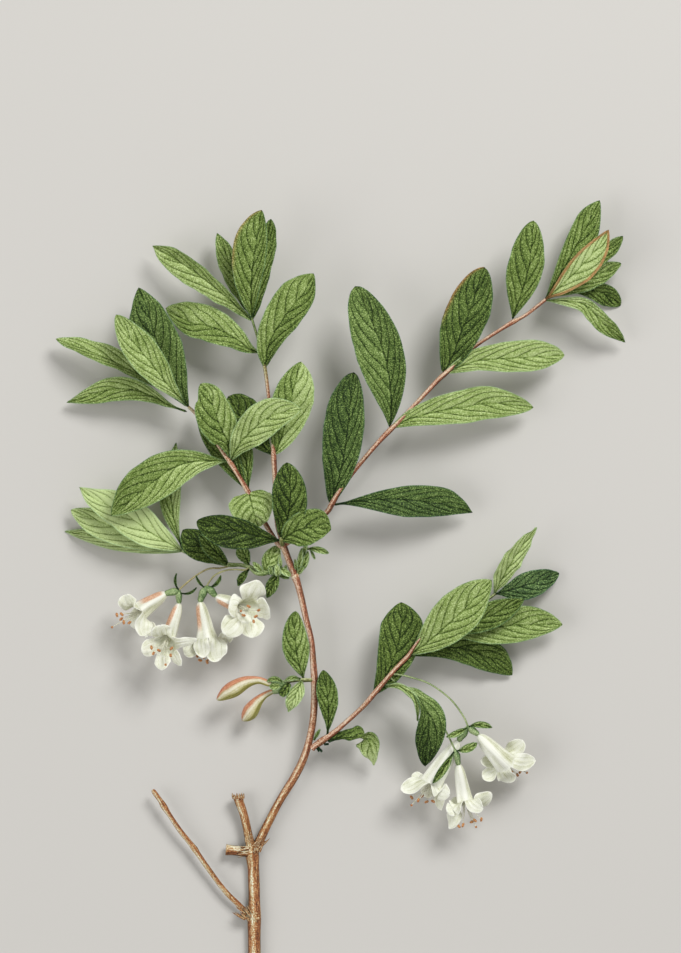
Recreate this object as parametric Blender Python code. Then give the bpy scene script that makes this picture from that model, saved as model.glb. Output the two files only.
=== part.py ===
"""Cut flowering branch of a shrubby honeysuckle, laid flat: the trunk's cut end points to -Y,
the shoots fan out to +Y, the flowers nod to both sides, and the leaves turn their faces up."""

import math

import bpy
from mathutils import Matrix, Vector

MM = 0.001
UP = Vector((0, 0, 1))

# Driving sizes, all in millimetres.
BLADE_THICKNESS = 0.7
BLADE_ROWS = (0.0, 0.13, 0.3, 0.5, 0.7, 0.88, 1.0)
SMALL_BLADE_ROWS = (0.0, 0.3, 0.65, 1.0)
BLADE_FOLD = 0.16
BLADE_ROOT_HALF = 0.55
BLADE_TIP_HALF = 0.35
BLADE_FULLNESS = 0.85
PETAL_WALL = 0.6
LIMB_FLARE = 0.12
LOBES = 5
STALK_RADIUS = 0.36
SHADE_ANGLE = 40

# A lobe's rim on the way round it, from one notch between lobes to the next, as shares of its length.
LOBE_OUTLINE = (0.0, 0.84, 1.0, 1.0, 0.84)
# How far the notches stand outside the throat.
NOTCH_DEPTH = 1.2
# The limb leaves the tube a little wider than the throat.
LIMB_STEP = 0.2

# Radius of the funnel's narrow end, and (share of the way to the throat, share of its radius) further on.
TUBE_ROOT_RADIUS = 0.9
TUBE_OUTSIDE = ((0.4, 0.42), (0.8, 0.75), (1.0, 1.0))
# Where the hollow of the funnel passes its mouth and where it ends, and its radius there.
MOUTH_INSIDE_AT = 0.97
HOLLOW_END_AT = 0.6
HOLLOW_END_SHARE = 0.4
# Pull of the funnel's axis, from its root along the straight line and from its throat along the way it looks.
AXIS_ROOT_PULL = 0.4
AXIS_THROAT_PULL = 0.35

# Stamens and style leave the solid tube, bend inside its mouth and stand out of it by these lengths.
STAMEN_ROOT_AT = 0.42
STAMEN_BEND_AT = 0.8
STAMEN_BEND_OUT = 0.5
STAMEN_SPREAD = (1.2, 1.7, 2.2)
STAMEN_LENGTHS = (4.6, 5.3, 6.0)
FILAMENT_RADIUS = 0.3
ANTHER_RADIUS = 0.6
ANTHER_LENGTH = 1.6
STYLE_BEND_AT = 0.85
STYLE_LENGTH = 8.5
STYLE_DROP = 1.2
STYLE_RADIUS = 0.35
STIGMA_RADIUS = 0.45


def along(points, spans):
    """Points read from a Catmull-Rom curve through the given ones, with spans steps between each two."""
    rows = [points[0], *points, points[-1]]
    out = []
    for i in range(len(points) - 1):
        for step in range(spans):
            t = step / spans
            out.append([
                0.5 * (2 * b + (c - a) * t + (2 * a - 5 * b + 4 * c - d) * t**2 + (3 * b - a - 3 * c + d) * t**3)
                for a, b, c, d in zip(*rows[i:i + 4])
            ])
    out.append(list(points[-1]))
    return out


def solid(name, points, faces):
    """Mesh object from points in millimetres and faces that look outward."""
    mesh = bpy.data.meshes.new(name)
    mesh.from_pydata([Vector(p) * MM for p in points], [], faces)
    obj = bpy.data.objects.new(name, mesh)
    bpy.context.scene.collection.objects.link(obj)
    return obj


def rings_solid(rings, name="tube"):
    """Closed solid through rings of equal count, with a flat cap at each end."""
    count = len(rings[0])
    points = [p for ring in rings for p in ring]
    faces = []
    for r in range(len(rings) - 1):
        for k in range(count):
            a = r * count + k
            b = r * count + (k + 1) % count
            faces += [(a, b, b + count), (a, b + count, a + count)]
    faces.append(tuple(reversed(range(count))))
    last = (len(rings) - 1) * count
    faces.append(tuple(range(last, last + count)))
    return solid(name, points, faces)


def tube(points, sides=6, spans=2, floor=None):
    """Stem, stalk, bud or ovary: a round body through points (x, y, z, radius).

    One side of it faces straight down. With a floor height, what would lie lower is flattened there."""
    path = along(points, spans)
    centres = [Vector(p[:3]) for p in path]
    rings = []
    for i, p in enumerate(path):
        ahead = centres[min(i + 1, len(path) - 1)] - centres[max(i - 1, 0)]
        side = UP.cross(ahead).normalized()
        over = ahead.cross(side).normalized()
        ring = []
        for k in range(sides):
            turn = 2 * math.pi * (k + 0.5) / sides - math.pi / 2
            point = centres[i] + (side * math.cos(turn) + over * math.sin(turn)) * p[3]
            if floor is not None:
                point.z = max(point.z, floor)
            ring.append(point)
        rings.append(ring)
    return rings_solid(rings)


def blade(path, width, roll=(0, 0), widest=0.58, fold=BLADE_FOLD, lobe=0.0, rows=BLADE_ROWS):
    """Leaf or bract: a thin folded blade along a curved midrib, root to tip.

    roll turns the blade about its midrib, in degrees at the root and the tip, left margin up.
    lobe draws the margins back past the root, as on a heart-shaped leaf."""
    fine = [Vector(p) for p in along(path, 8)]
    bend = math.log(0.5) / math.log(widest)
    tops, unders = [], []
    for u in rows:
        at = u * (len(fine) - 1)
        i = min(int(at), len(fine) - 2)
        centre = fine[i].lerp(fine[i + 1], at - i)
        ahead = (fine[min(i + 2, len(fine) - 1)] - fine[max(i - 1, 0)]).normalized()
        side = UP.cross(ahead).normalized()
        turn = Matrix.Rotation(math.radians(roll[0] + (roll[1] - roll[0]) * u), 3, ahead)
        side = turn @ side
        over = ahead.cross(side)
        end = BLADE_ROOT_HALF * (1 - u) + BLADE_TIP_HALF * u
        half = max(end, width / 2 * math.sin(math.pi * u**bend) ** BLADE_FULLNESS if 0 < u < 1 else 0)
        for v in (-1, 0, 1):
            back = ahead * (lobe * abs(v) * (1 - u) ** 2)
            point = centre + side * (v * half) + over * (abs(v) * half * fold) - back
            top = point + over * (BLADE_THICKNESS / 2)
            under = point - over * (BLADE_THICKNESS / 2)
            lift = UP * max(0.0, -min(under.z, top.z))
            tops.append(top + lift)
            unders.append(under + lift)
    faces = []
    low = len(tops)
    last = len(rows) - 1
    for r in range(last):
        for c in range(2):
            a, b = r * 3 + c, r * 3 + c + 1
            faces += [(a, a + 3, b + 3), (a, b + 3, b)]
            faces += [(low + a, low + b + 3, low + a + 3), (low + a, low + b, low + b + 3)]
        for c, sign in ((0, 1), (2, -1)):
            a, b = r * 3 + c, r * 3 + c + 3
            faces += [(a, low + a, low + b)[::sign], (a, low + b, b)[::sign]]
    for r, sign in ((0, -1), (last, 1)):
        for c in range(2):
            a, b = r * 3 + c, r * 3 + c + 1
            faces += [(a, low + a, low + b)[::sign], (a, low + b, b)[::sign]]
    return solid("blade", tops + unders, faces)


def leaf(base, tip, width, bow=0.0, arch=2.5, roll=0.0, **shape):
    """Blade from its root to its tip; bow bends it to the left of that way, arch lifts its middle."""
    base, tip = Vector(base), Vector(tip)
    left = UP.cross(tip - base).normalized()
    middle = (base + tip) / 2 + left * bow + UP * arch
    return blade([base, middle, tip], width, (roll, roll), **shape)


def small_leaf(base, tip, width, arch=1.0, roll=0.0):
    """Young leaf, scale or bract."""
    return leaf(base, tip, width, arch=arch, roll=roll, rows=SMALL_BLADE_ROWS)


def fused(name, pieces):
    """The pieces as one grown body: a union on a collection, applied, and the loose ones removed."""
    body = pieces[0]
    body.name = name
    others = bpy.data.collections.new(name + "_parts")
    for piece in pieces[1:]:
        others.objects.link(piece)
    join = body.modifiers.new("grown_together", "BOOLEAN")
    join.operation = "UNION"
    join.operand_type = "COLLECTION"
    join.collection = others
    join.solver = "MANIFOLD"
    depsgraph = bpy.context.evaluated_depsgraph_get()
    mesh = bpy.data.meshes.new_from_object(body.evaluated_get(depsgraph))
    mesh.name = name
    body.modifiers.clear()
    body.data = mesh
    for piece in pieces[1:]:
        bpy.data.objects.remove(piece)
    bpy.data.collections.remove(others)
    return body


def finish(obj, colour, roughness):
    """Give a sub-part its name's own material and soft shading."""
    material = bpy.data.materials.new(obj.name)
    material.use_nodes = True
    shader = material.node_tree.nodes["Principled BSDF"]
    shader.inputs["Base Color"].default_value = (*colour, 1)
    shader.inputs["Roughness"].default_value = roughness
    shader.inputs["Metallic"].default_value = 0
    obj.data.materials.clear()
    obj.data.materials.append(material)
    obj.data.shade_smooth()
    obj.data.set_sharp_from_angle(angle=math.radians(SHADE_ANGLE))


BARK = (0.35, 0.13, 0.06)
LEAF_GREEN = (0.13, 0.25, 0.07)
DARK_GREEN = (0.05, 0.14, 0.04)
STALK_GREEN = (0.16, 0.30, 0.12)
PETAL_WHITE = (0.87, 0.87, 0.82)
BUD_CREAM = (0.70, 0.55, 0.25)


def woody_stem():
    """Trunk, main stem and the old cut or bare wood, with the flat spot it rests on under the trunk."""
    trunk = [(-31, -137.2, 2.0, 2.35), (-31, -129, 2.0, 2.35), (-31, -115, 2.0, 2.2),
             (-31.3, -104, 2.0, 2.25), (-31.7, -97.9, 2.6, 2.3), (-32, -95, 3, 1.9)]
    main = [(-31.5, -98.5, 2.8, 1.8), (-28.4, -92.5, 3.5, 1.6), (-25.2, -86, 4.2, 1.5), (-21.4, -78.8, 5, 1.5),
            (-16.9, -71.6, 6.2, 1.6), (-13.3, -64.4, 7.4, 1.5), (-11, -57.2, 8.4, 1.3), (-9.7, -50, 9.2, 1.3),
            (-9.2, -42.8, 10, 1.3), (-9.2, -35.6, 10.8, 1.25), (-9.7, -28.4, 11.6, 1.15),
            (-10.3, -21.2, 12.4, 1.0), (-12.1, -14, 13.2, 1.1), (-13.7, -6.8, 13.9, 1.15),
            (-15.1, -1.4, 14.4, 1.2), (-16.2, 1.8, 14.7, 1.3), (-17.8, 5.8, 15, 1.2), (-19.1, 9.4, 15.3, 1.15),
            (-20.3, 12.7, 15.5, 1.05)]
    stub = [(-32, -96.5, 3, 1.7), (-34.2, -86, 3.8, 1.55), (-36.3, -80, 4.4, 1.6), (-36.7, -78.6, 4.5, 2.1)]
    side_stub = [(-32.5, -98, 2.8, 2.0), (-38, -97.4, 2.9, 1.9), (-41.2, -97.2, 3, 2.1)]
    old_twig = [(-32.2, -122.6, 2.4, 1.3), (-36, -117.7, 2.8, 1.05), (-41.4, -112.3, 3.2, 1.0),
                (-46.8, -105.1, 3.6, 0.95), (-52.2, -97.4, 4, 1.2), (-57.6, -90.4, 4.4, 0.95),
                (-61.9, -84.2, 4.8, 0.9), (-64, -80.3, 5, 1.25), (-67.3, -76, 5.2, 0.8)]
    shreds = [
        blade([(-32.6, -120, 3.6), (-35, -118, 4.4), (-36.4, -114.5, 5)], 2.2, rows=SMALL_BLADE_ROWS),
        blade([(-30.8, -99, 4.4), (-28.6, -95, 5.6), (-26.4, -91.2, 6.6)], 2.4, rows=SMALL_BLADE_ROWS),
    ]
    wood = [tube(trunk, sides=10, spans=1, floor=0.0), tube(main, sides=8, spans=1), tube(stub, sides=8, spans=1),
            tube(side_stub, sides=8, spans=1, floor=0.4), tube(old_twig, sides=6, spans=1)]
    return fused("woody_stem", wood + shreds)


def top_left_shoot():
    twig = [(-20.9, 14.2, 16.6, 0.75), (-22.7, 22, 16.8, 0.9), (-23.4, 37, 17, 0.9), (-23.8, 46, 17, 0.85),
            (-24.6, 55, 17.2, 0.7), (-25.7, 66.6, 17.4, 0.65), (-26.9, 77, 17.4, 0.6), (-28.6, 82, 17.2, 0.5),
            (-29.5, 87, 16.8, 0.5), (-31.8, 95.2, 16, 0.45)]
    leaves = [
        leaf((-31.6, 93.6, 16), (-67.7, 120.8, 9), 10.8, bow=-2.0, arch=3, roll=-35),
        leaf((-31.6, 94.5, 15.8), (-44.3, 125.5, 8), 10, arch=1, roll=30),
        leaf((-31.7, 94.6, 16.4), (-28.1, 133.2, 25), 13, bow=2.5, arch=3),
        leaf((-31.5, 94, 16), (-24.8, 130.3, 15), 9.5, arch=1.5, roll=18),
        leaf((-27, 76.7, 17.4), (-9.4, 110.5, 22), 15, bow=2, arch=3, widest=0.62),
        leaf((-28.4, 82.1, 17.2), (-63, 98.4, 4), 12.8, bow=-1.1, arch=3, roll=10, widest=0.62),
        leaf((-23.8, 45.4, 17), (-14, 79, 12), 15.5, bow=-1.5, arch=2.5),
        leaf((-23.8, 44.8, 17), (-40.3, 66.6, 7), 12, bow=1, arch=1),
    ]
    return fused("top_left_shoot", [tube(twig, spans=1)] + leaves)


def left_shoot():
    twig = [(-22.5, 13.6, 15, 0.75), (-26.9, 20.7, 14.9, 0.9), (-30.6, 27.4, 14.9, 0.9), (-33.1, 32.4, 14.9, 0.85),
            (-36, 37.1, 14.9, 0.8), (-39.6, 42.8, 15, 0.85), (-43.2, 47.9, 14.6, 0.65), (-48.6, 56.3, 13.6, 0.6),
            (-51.8, 60.1, 13, 0.55), (-55, 62.9, 12.4, 0.5)]
    leaves = [
        leaf((-54.6, 62.9, 12.4), (-102.6, 87.3, 7), 12, bow=-2.5, arch=3, roll=45, widest=0.62),
        leaf((-54.6, 62.6, 12.6), (-80.5, 95.8, 19), 12, bow=1.6, arch=2.5, roll=10),
        leaf((-54.4, 62.6, 12.2), (-72.5, 105.7, 13), 15.5, bow=1.4, arch=0.5),
        leaf((-53.8, 61.6, 12.4), (-99, 64.4, 4), 11, bow=-7, arch=2, widest=0.56),
        leaf((-39.4, 43.2, 15), (-50.2, 70.9, 20), 13.5, bow=-0.7, arch=2),
        leaf((-39.4, 43.2, 15.2), (-13.9, 61.7, 27), 13.5, bow=5.5, arch=3),
        leaf((-33.1, 32, 14.8), (-51.1, 63.4, 7), 11, bow=1, arch=0.5),
        leaf((-39.8, 43.2, 15), (-82.4, 23.4, 18), 15, bow=-5.2, arch=4),
        leaf((-33, 32.2, 14.8), (-37.4, 58, 9), 9, bow=-1, arch=0),
        leaf((-32.8, 31.8, 15.2), (-29.5, 19.1, 19), 15.8, arch=4, widest=0.36, lobe=2.2, fold=0.05),
    ]
    return fused("left_shoot", [tube(twig, spans=1)] + leaves)


def flower_spur():
    twig = [(-18.5, 2.4, 14.6, 0.75), (-25.2, 2.9, 14.4, 0.75), (-29.5, 3.6, 14, 0.7), (-32.4, 5, 13.6, 0.75),
            (-36, 5.8, 13, 0.7), (-40, 5.9, 12.4, 0.75), (-48.6, 7.6, 10.8, 0.6), (-57, 10.9, 9.2, 0.55)]
    leaves = [
        leaf((-56.6, 10.8, 9.4), (-94, 33.8, 10), 14, bow=-0.4, arch=3),
        leaf((-56.6, 10.7, 9.2), (-97.2, 25.6, 5), 10.5, bow=0.5, arch=1.5),
        leaf((-56.4, 10.6, 9), (-99.7, 17.8, -0.6), 10, arch=1),
        leaf((-56.6, 10.8, 9), (-59.2, 50, 2), 8, bow=3, arch=-1),
        leaf((-40.3, 5.8, 12.4), (-56.7, 18.4, 12.5), 10, arch=2),
        leaf((-40.1, 5.8, 12.6), (-50.8, 16.9, 17), 5.5, arch=2),
        small_leaf((-32.4, 5, 13.7), (-36, 13, 17), 4.7),
        small_leaf((-32.6, 4.6, 13.5), (-36.7, -1.8, 12), 2.8),
        small_leaf((-27.4, 3.4, 14.2), (-22.6, 12.6, 13), 6, arch=0),
        small_leaf((-22.3, 2.8, 14.5), (-26.3, -6.1, 12), 4.3),
        small_leaf((-26.6, 3.2, 14.4), (-31.5, 7, 18), 3),
        small_leaf((-19.8, 2.6, 14.6), (-22.6, 6.6, 17.6), 4),
    ]
    return fused("flower_spur", [tube(twig, spans=1)] + leaves)


def crown_leaves():
    knob = [(-20.8, 13.2, 18.5, 0.6), (-21.1, 14.6, 18.7, 1.0), (-21.3, 16, 18.8, 0.6)]
    leaves = [
        leaf((-21.1, 14.6, 18.8), (-51.5, 21.4, 25), 11.5, bow=0.2, arch=4.5),
        leaf((-21.1, 15, 18.8), (-19.1, 42.7, 25), 12.5, bow=-2.2, arch=2.5),
        leaf((-21.1, 14.6, 18.8), (-3.2, 18.4, 21), 12.5, bow=2.6, arch=3.5, widest=0.6),
    ]
    return fused("crown_leaves", [tube(knob, spans=1)] + leaves)


def right_shoot():
    twig = [(-18.6, 13.9, 15.1, 0.8), (-14.4, 17.2, 15.2, 0.9), (-5.4, 24.5, 15.4, 0.9), (-2.6, 27.6, 15.5, 1.0),
            (0, 33.5, 15.5, 0.85), (7.9, 43.9, 15.7, 0.85), (17.8, 55.2, 16, 0.9), (27, 65.2, 16.2, 0.75),
            (37.2, 74.8, 16.3, 0.85), (48.6, 84.6, 15.8, 0.65), (62, 94.2, 15, 0.7), (74, 101.4, 14.2, 0.5)]
    leaves = [
        leaf((-3.2, 27.2, 15.4), (5, 75.1, 19), 15, bow=-0.4, arch=3),
        leaf((-2.6, 27.4, 15.4), (47.9, 24.6, 6), 12, bow=3.4, arch=4, widest=0.6),
        leaf((17.8, 55.2, 16), (5.4, 106, 20), 17.5, bow=-3, arch=3),
        leaf((18.2, 55.2, 16), (69.8, 62.5, 8), 12.5, bow=4.5, arch=3),
        leaf((37.2, 74.8, 16.3), (51.8, 112.9, 21), 15.5, bow=-1, arch=3),
        leaf((37.4, 74.8, 16.3), (81, 81.4, 9), 11.5, bow=3, arch=3),
        leaf((62, 94.2, 15), (69.5, 129.6, 19), 13.5, bow=-1.8, arch=3),
        leaf((73.8, 101.3, 14.2), (93.6, 137.2, 10), 12, bow=-0.5, arch=0.5, widest=0.62),
        leaf((73.8, 101.3, 14.4), (96.1, 126.4, 23), 10.5, bow=0.6, arch=2),
        leaf((73.8, 101.3, 14.2), (101.9, 124.2, 13), 7.5, arch=0, roll=25),
        leaf((73.8, 101.3, 14), (101.5, 114.5, 7), 8, arch=1, roll=20),
        leaf((73.8, 101.3, 13.9), (101.5, 99.4, -0.5), 8, bow=4, arch=1, roll=15),
        leaf((73.6, 101.1, 14.2), (103, 86, 5), 7.5, bow=4, arch=3),
    ]
    return fused("right_shoot", [tube(twig, spans=1)] + leaves)


def right_spur():
    twig = [(-14.5, 3.4, 14.8, 0.7), (-13.6, 7.4, 15, 0.7), (-12.4, 11.4, 15.2, 0.6)]
    leaves = [
        small_leaf((-12.6, 11, 15.2), (-4, 10.1, 14), 3),
        small_leaf((-12.8, 10.8, 15.1), (-9, 6.6, 13), 2.4),
        small_leaf((-14, 6, 15), (-15.9, 12.2, 17), 3.2),
        small_leaf((-13.6, 7.4, 15), (-9.6, 12.8, 17.4), 3.4),
        small_leaf((-14.3, 4.6, 14.9), (-10.6, 3.6, 16), 2.8),
    ]
    return fused("right_spur", [tube(twig, spans=1)] + leaves)


def bud_spur():
    twig = [(-11.2, -35.7, 11.4, 0.55), (-15.1, -35.7, 12, 0.6), (-18, -36.2, 12.2, 0.5), (-20.4, -37, 12.4, 0.5)]
    ovary_one = [(-20, -36.7, 12.6, 0.6), (-22.2, -36.9, 13, 1.5), (-24.6, -37, 13.3, 1.1)]
    ovary_two = [(-19.6, -37, 12.2, 0.6), (-21.4, -38.8, 11.2, 1.5), (-23.8, -39.6, 10.7, 1.0)]
    leaves = [
        leaf((-12.4, -35.7, 11.7), (-16, -10.8, 14), 10, bow=1.6, arch=2, widest=0.52),
        leaf((-13.3, -35.6, 11.8), (-18.7, -47.2, 9), 6, arch=1.5),
        small_leaf((-15, -35.8, 12), (-20, -34.2, 14), 2.6),
        small_leaf((-20, -36.9, 12.8), (-26, -35, 16.2), 2.2),
        small_leaf((-19.4, -37, 12.2), (-18.6, -42.4, 11), 3),
    ]
    ovaries = [tube(ovary_one), tube(ovary_two)]
    return fused("bud_spur", [tube(twig, spans=1)] + ovaries + leaves)


def lower_right_shoot():
    branch = [(-9.1, -59.6, 8.6, 1.0), (-4.3, -56.2, 9, 1.1), (0, -52.9, 9.3, 0.9), (7.9, -45.7, 10.2, 0.85),
              (16.2, -36, 11.2, 0.85), (24.5, -27, 12.2, 0.75), (28.1, -21.6, 12.4, 0.6), (36, -18.4, 12.2, 0.6),
              (46.8, -11.2, 11.8, 0.55), (56, -4.6, 11.4, 0.5)]
    bent_down = [(15.8, -37, 11.2), (21.6, -36.8, 15.8), (26.4, -39.4, 17.8), (29.6, -44.4, 18),
                 (32, -51, 16.8), (32.2, -59, 13.4), (31, -67.7, 8)]
    folded_over = [(-4.4, -56.6, 9.2), (2.5, -56.2, 11), (8.4, -56, 12), (11, -59.4, 10.5), (12.2, -66.6, 6)]
    leaves = [
        leaf((-4.6, -56.2, 9.2), (-6.1, -32, 13), 7.4, bow=-1.1, arch=2),
        blade(folded_over, 8.5, roll=(-70, 0), widest=0.78),
        leaf((12, -40.8, 10.8), (22, -7.6, 13.5), 16, bow=-3.4, arch=2.5, widest=0.62),
        leaf((24.8, -26.8, 12.3), (54.4, 0.5, 23), 15, bow=-0.7, arch=4),
        leaf((55.6, -4.8, 11.4), (70.9, 19.4, 15), 8.5, bow=1, arch=1.5, roll=45, widest=0.5),
        leaf((55.6, -4.8, 11.4), (79.2, 2.7, 3), 9.5, bow=-0.4, arch=1),
        leaf((36, -18.4, 12.2), (66.2, -7.9, 13), 9.7, bow=-1, arch=1),
        leaf((36, -18.4, 12), (80.3, -15.8, 8), 12.8, bow=0.8, arch=0),
        leaf((24.6, -27, 12), (62.3, -34.2, 2), 12.5, bow=6.2, arch=0, widest=0.64),
        blade(bent_down, 11, roll=(-75, 0), widest=0.7),
    ]
    return fused("lower_right_shoot", [tube(branch, spans=1)] + leaves)


def flower_stalk(name, stalk, ovaries, bracts):
    """Thin nodding stalk with its green ovaries and narrow bracts."""
    pieces = [tube([(*p, STALK_RADIUS) for p in stalk], sides=5, spans=1)]
    pieces += [tube(points) for points in ovaries]
    pieces += [small_leaf(*bract) for bract in bracts]
    return fused(name, pieces)


def flower_stalks():
    """The four stalks; each ovary ends just short of its own flower."""
    left_one = flower_stalk(
        "flower_stalk_left_1",
        [(-41.8, 3.9, 12.7), (-46.8, 4.5, 13.8), (-50.4, 2.9, 14.6), (-54.6, -0.2, 15), (-58.2, -3.4, 15)],
        [[(-57.8, -3, 15, 0.6), (-60.2, -3.9, 15, 1.4), (-62.2, -4.3, 14.8, 1.0)],
         [(-58, -3, 14.8, 0.6), (-58, -5.4, 14.4, 1.2), (-57.9, -7.2, 14, 0.9)]],
        [((-58.4, -3.2, 15.4), (-58.7, 2.9, 16), 2), ((-57.6, -3.4, 15.2), (-51.6, -2, 15.4), 1.8)],
    )
    left_two = flower_stalk(
        "flower_stalk_left_2",
        [(-33.6, 3.3, 14.9), (-37.8, 4.2, 15.8), (-41.6, 3.7, 16.2), (-45.4, 1.8, 16.2), (-48.2, -2.2, 15.8)],
        [[(-48.2, -1.8, 15.8, 0.6), (-49.3, -4.4, 15.4, 1.5), (-50.1, -6.7, 14.8, 1.1)],
         [(-48.2, -1.8, 15.9, 0.6), (-46.4, -3.4, 15.8, 1.4), (-45.2, -4.8, 15.4, 1.1)]],
        [((-48.4, -1.8, 16), (-51.8, 2.2, 17.4), 1.8), ((-47.6, -2, 16), (-43.2, 2.2, 14.4), 1.8)],
    )
    right_one = flower_stalk(
        "flower_stalk_right_1",
        [(20.9, -34.2, 12), (25.2, -34.6, 13), (31, -36.4, 14.6), (36, -39.4, 15.6), (40.6, -43.4, 16),
         (44.6, -49, 16), (46.1, -52.6, 15.8)],
        [[(46, -52.2, 15.8, 0.6), (47.6, -53.6, 16.2, 1.3), (49.2, -54.7, 16.6, 1.0)],
         [(46.1, -52.2, 15.8, 0.6), (44.4, -55, 15, 1.4), (42.9, -56.9, 14.2, 1.1)]],
        [((46.2, -52.4, 16), (54.6, -52.6, 17), 2.2), ((46, -52.6, 16), (38.4, -55.4, 19.4), 2.2)],
    )
    right_two = flower_stalk(
        "flower_stalk_right_2",
        [(20.2, -37.2, 10), (23.6, -40.4, 10), (28, -44, 11), (34.2, -48.8, 10.6), (37.6, -53.2, 12.4),
         (39.9, -57.6, 17.4), (41.4, -60.8, 17.8)],
        [[(41.2, -60.4, 17.8, 0.6), (42, -62.8, 17.2, 1.3), (42.4, -65.3, 16.4, 1.0)]],
        [((41.4, -60.6, 18), (49.2, -57.6, 19), 4.6), ((41, -60.6, 18), (33.4, -71.6, 17.6), 2.8)],
    )
    return left_one, left_two, right_one, right_two


def flower(name, base, throat, heading, rise, reach, throat_radius, spin=0.0):
    """White corolla: a curved funnel that opens into five rounded lobes, with its stamens and style.

    heading and rise, in degrees, say which way its mouth looks; reach is the radius over the lobes."""
    base, throat = Vector(base), Vector(throat)
    look = Vector((math.cos(math.radians(heading)), math.sin(math.radians(heading)), 0))
    look = look * math.cos(math.radians(rise)) + UP * math.sin(math.radians(rise))
    first = base.lerp(throat, AXIS_ROOT_PULL)
    second = throat - look * ((throat - base).length * AXIS_THROAT_PULL)
    columns = LOBES * len(LOBE_OUTLINE)
    notch = throat_radius + NOTCH_DEPTH

    def axis(t):
        s = 1 - t
        return base * s**3 + first * (3 * s * s * t) + second * (3 * s * t * t) + throat * t**3

    def ring(centre, ahead, radii, flare=0.0):
        side = UP.cross(ahead).normalized()
        over = ahead.cross(side)
        points = []
        for k, radius in enumerate(radii):
            turn = 2 * math.pi * k / columns + math.radians(spin)
            out = side * math.cos(turn) + over * math.sin(turn)
            points.append(centre + out * radius + ahead * (flare * (radius - throat_radius)))
        return points

    def tube_ring(t, radius):
        ahead = (axis(min(t + 0.02, 1)) - axis(max(t - 0.02, 0))).normalized()
        return ring(axis(t), ahead, [radius] * columns)

    def limb_ring(s):
        edge = [notch + (reach - notch) * LOBE_OUTLINE[k % len(LOBE_OUTLINE)] for k in range(columns)]
        start = throat_radius + LIMB_STEP
        return ring(throat, look, [start + (e - start) * s for e in edge], LIMB_FLARE)

    outer = [tube_ring(0, TUBE_ROOT_RADIUS)]
    outer += [tube_ring(t, throat_radius * share) for t, share in TUBE_OUTSIDE]
    outer += [limb_ring(0.5), limb_ring(1.0)]
    wall = look * PETAL_WALL
    inner = [[p + wall for p in limb_ring(1.0)], [p + wall for p in limb_ring(0.5)]]
    inner += [tube_ring(MOUTH_INSIDE_AT, throat_radius - PETAL_WALL),
              tube_ring(HOLLOW_END_AT, throat_radius * HOLLOW_END_SHARE)]
    pieces = [rings_solid(outer + inner, name)]
    side = UP.cross(look).normalized()
    over = look.cross(side)
    root = axis(STAMEN_ROOT_AT)
    for k in range(LOBES):
        turn = 2 * math.pi * (k + 0.5) / LOBES + math.radians(spin)
        out = side * math.cos(turn) + over * math.sin(turn)
        middle = axis(STAMEN_BEND_AT) + out * STAMEN_BEND_OUT
        tip = throat + out * STAMEN_SPREAD[k % 3] + look * STAMEN_LENGTHS[k % 3]
        anther = tip + (look + out).normalized() * ANTHER_LENGTH
        points = [(*root, FILAMENT_RADIUS), (*middle, FILAMENT_RADIUS), (*tip, FILAMENT_RADIUS),
                  (*tip.lerp(anther, 0.4), ANTHER_RADIUS), (*anther, FILAMENT_RADIUS)]
        pieces.append(tube(points, sides=3, spans=1))
    stigma = throat + look * STYLE_LENGTH - over * STYLE_DROP
    bend = axis(STYLE_BEND_AT)
    pieces.append(tube([(*root, STYLE_RADIUS), (*bend, STYLE_RADIUS), (*stigma, STIGMA_RADIUS)], sides=3, spans=1))
    return fused(name, pieces)


def flowers():
    """Seven open flowers: four nod on the left, three on the right."""
    return [
        flower("flower_1", (-63, -4.6, 14.6), (-72.9, -12.4, 11.6), 222, 22, 10.4, 2.8, spin=40),
        flower("flower_2", (-57.8, -8.1, 13.7), (-63, -23.4, 16), 238, 64, 10.2, 2.9, spin=20),
        flower("flower_3", (-50.3, -7.4, 14.6), (-48.6, -23, 11.5), 272, 30, 10, 3.0),
        flower("flower_4", (-44.7, -5.6, 15.2), (-33.2, -10.6, 16.5), -25, 58, 11, 3.1, spin=30),
        flower("flower_5", (49.8, -55.4, 16.7), (60, -65.2, 13), -45, -48, 10.8, 3.5, spin=48),
        flower("flower_6", (42.5, -57.5, 13.9), (31, -73.4, 11), 235, 20, 10, 3.4, spin=5),
        flower("flower_7", (42.6, -66, 16.1), (45.4, -80.4, 12.5), 285, 22, 10, 2.8, spin=25),
    ]


def buds():
    """Two closed buds: a thin neck that swells to a blunt pointed club."""
    upper = [(-25.6, -36.8, 13.5, 1.1), (-28.8, -35.6, 13.6, 1.3), (-34.2, -36.6, 13.6, 2.2),
             (-38.6, -39, 13.2, 3.0), (-42.2, -41.4, 12.4, 2.0), (-44.4, -42.8, 12, 0.4)]
    lower = [(-24.6, -39.9, 10.5, 0.9), (-27.4, -41.2, 10, 1.2), (-30.4, -44.6, 9, 2.3),
             (-32.4, -47.2, 8.2, 2.8), (-34.2, -49.4, 7.6, 1.8), (-35.2, -50.6, 7.4, 0.4)]
    named = []
    for name, points in (("bud_1", upper), ("bud_2", lower)):
        bud = tube(points, sides=10, spans=2)
        bud.name = name
        named.append(bud)
    return named


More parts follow.
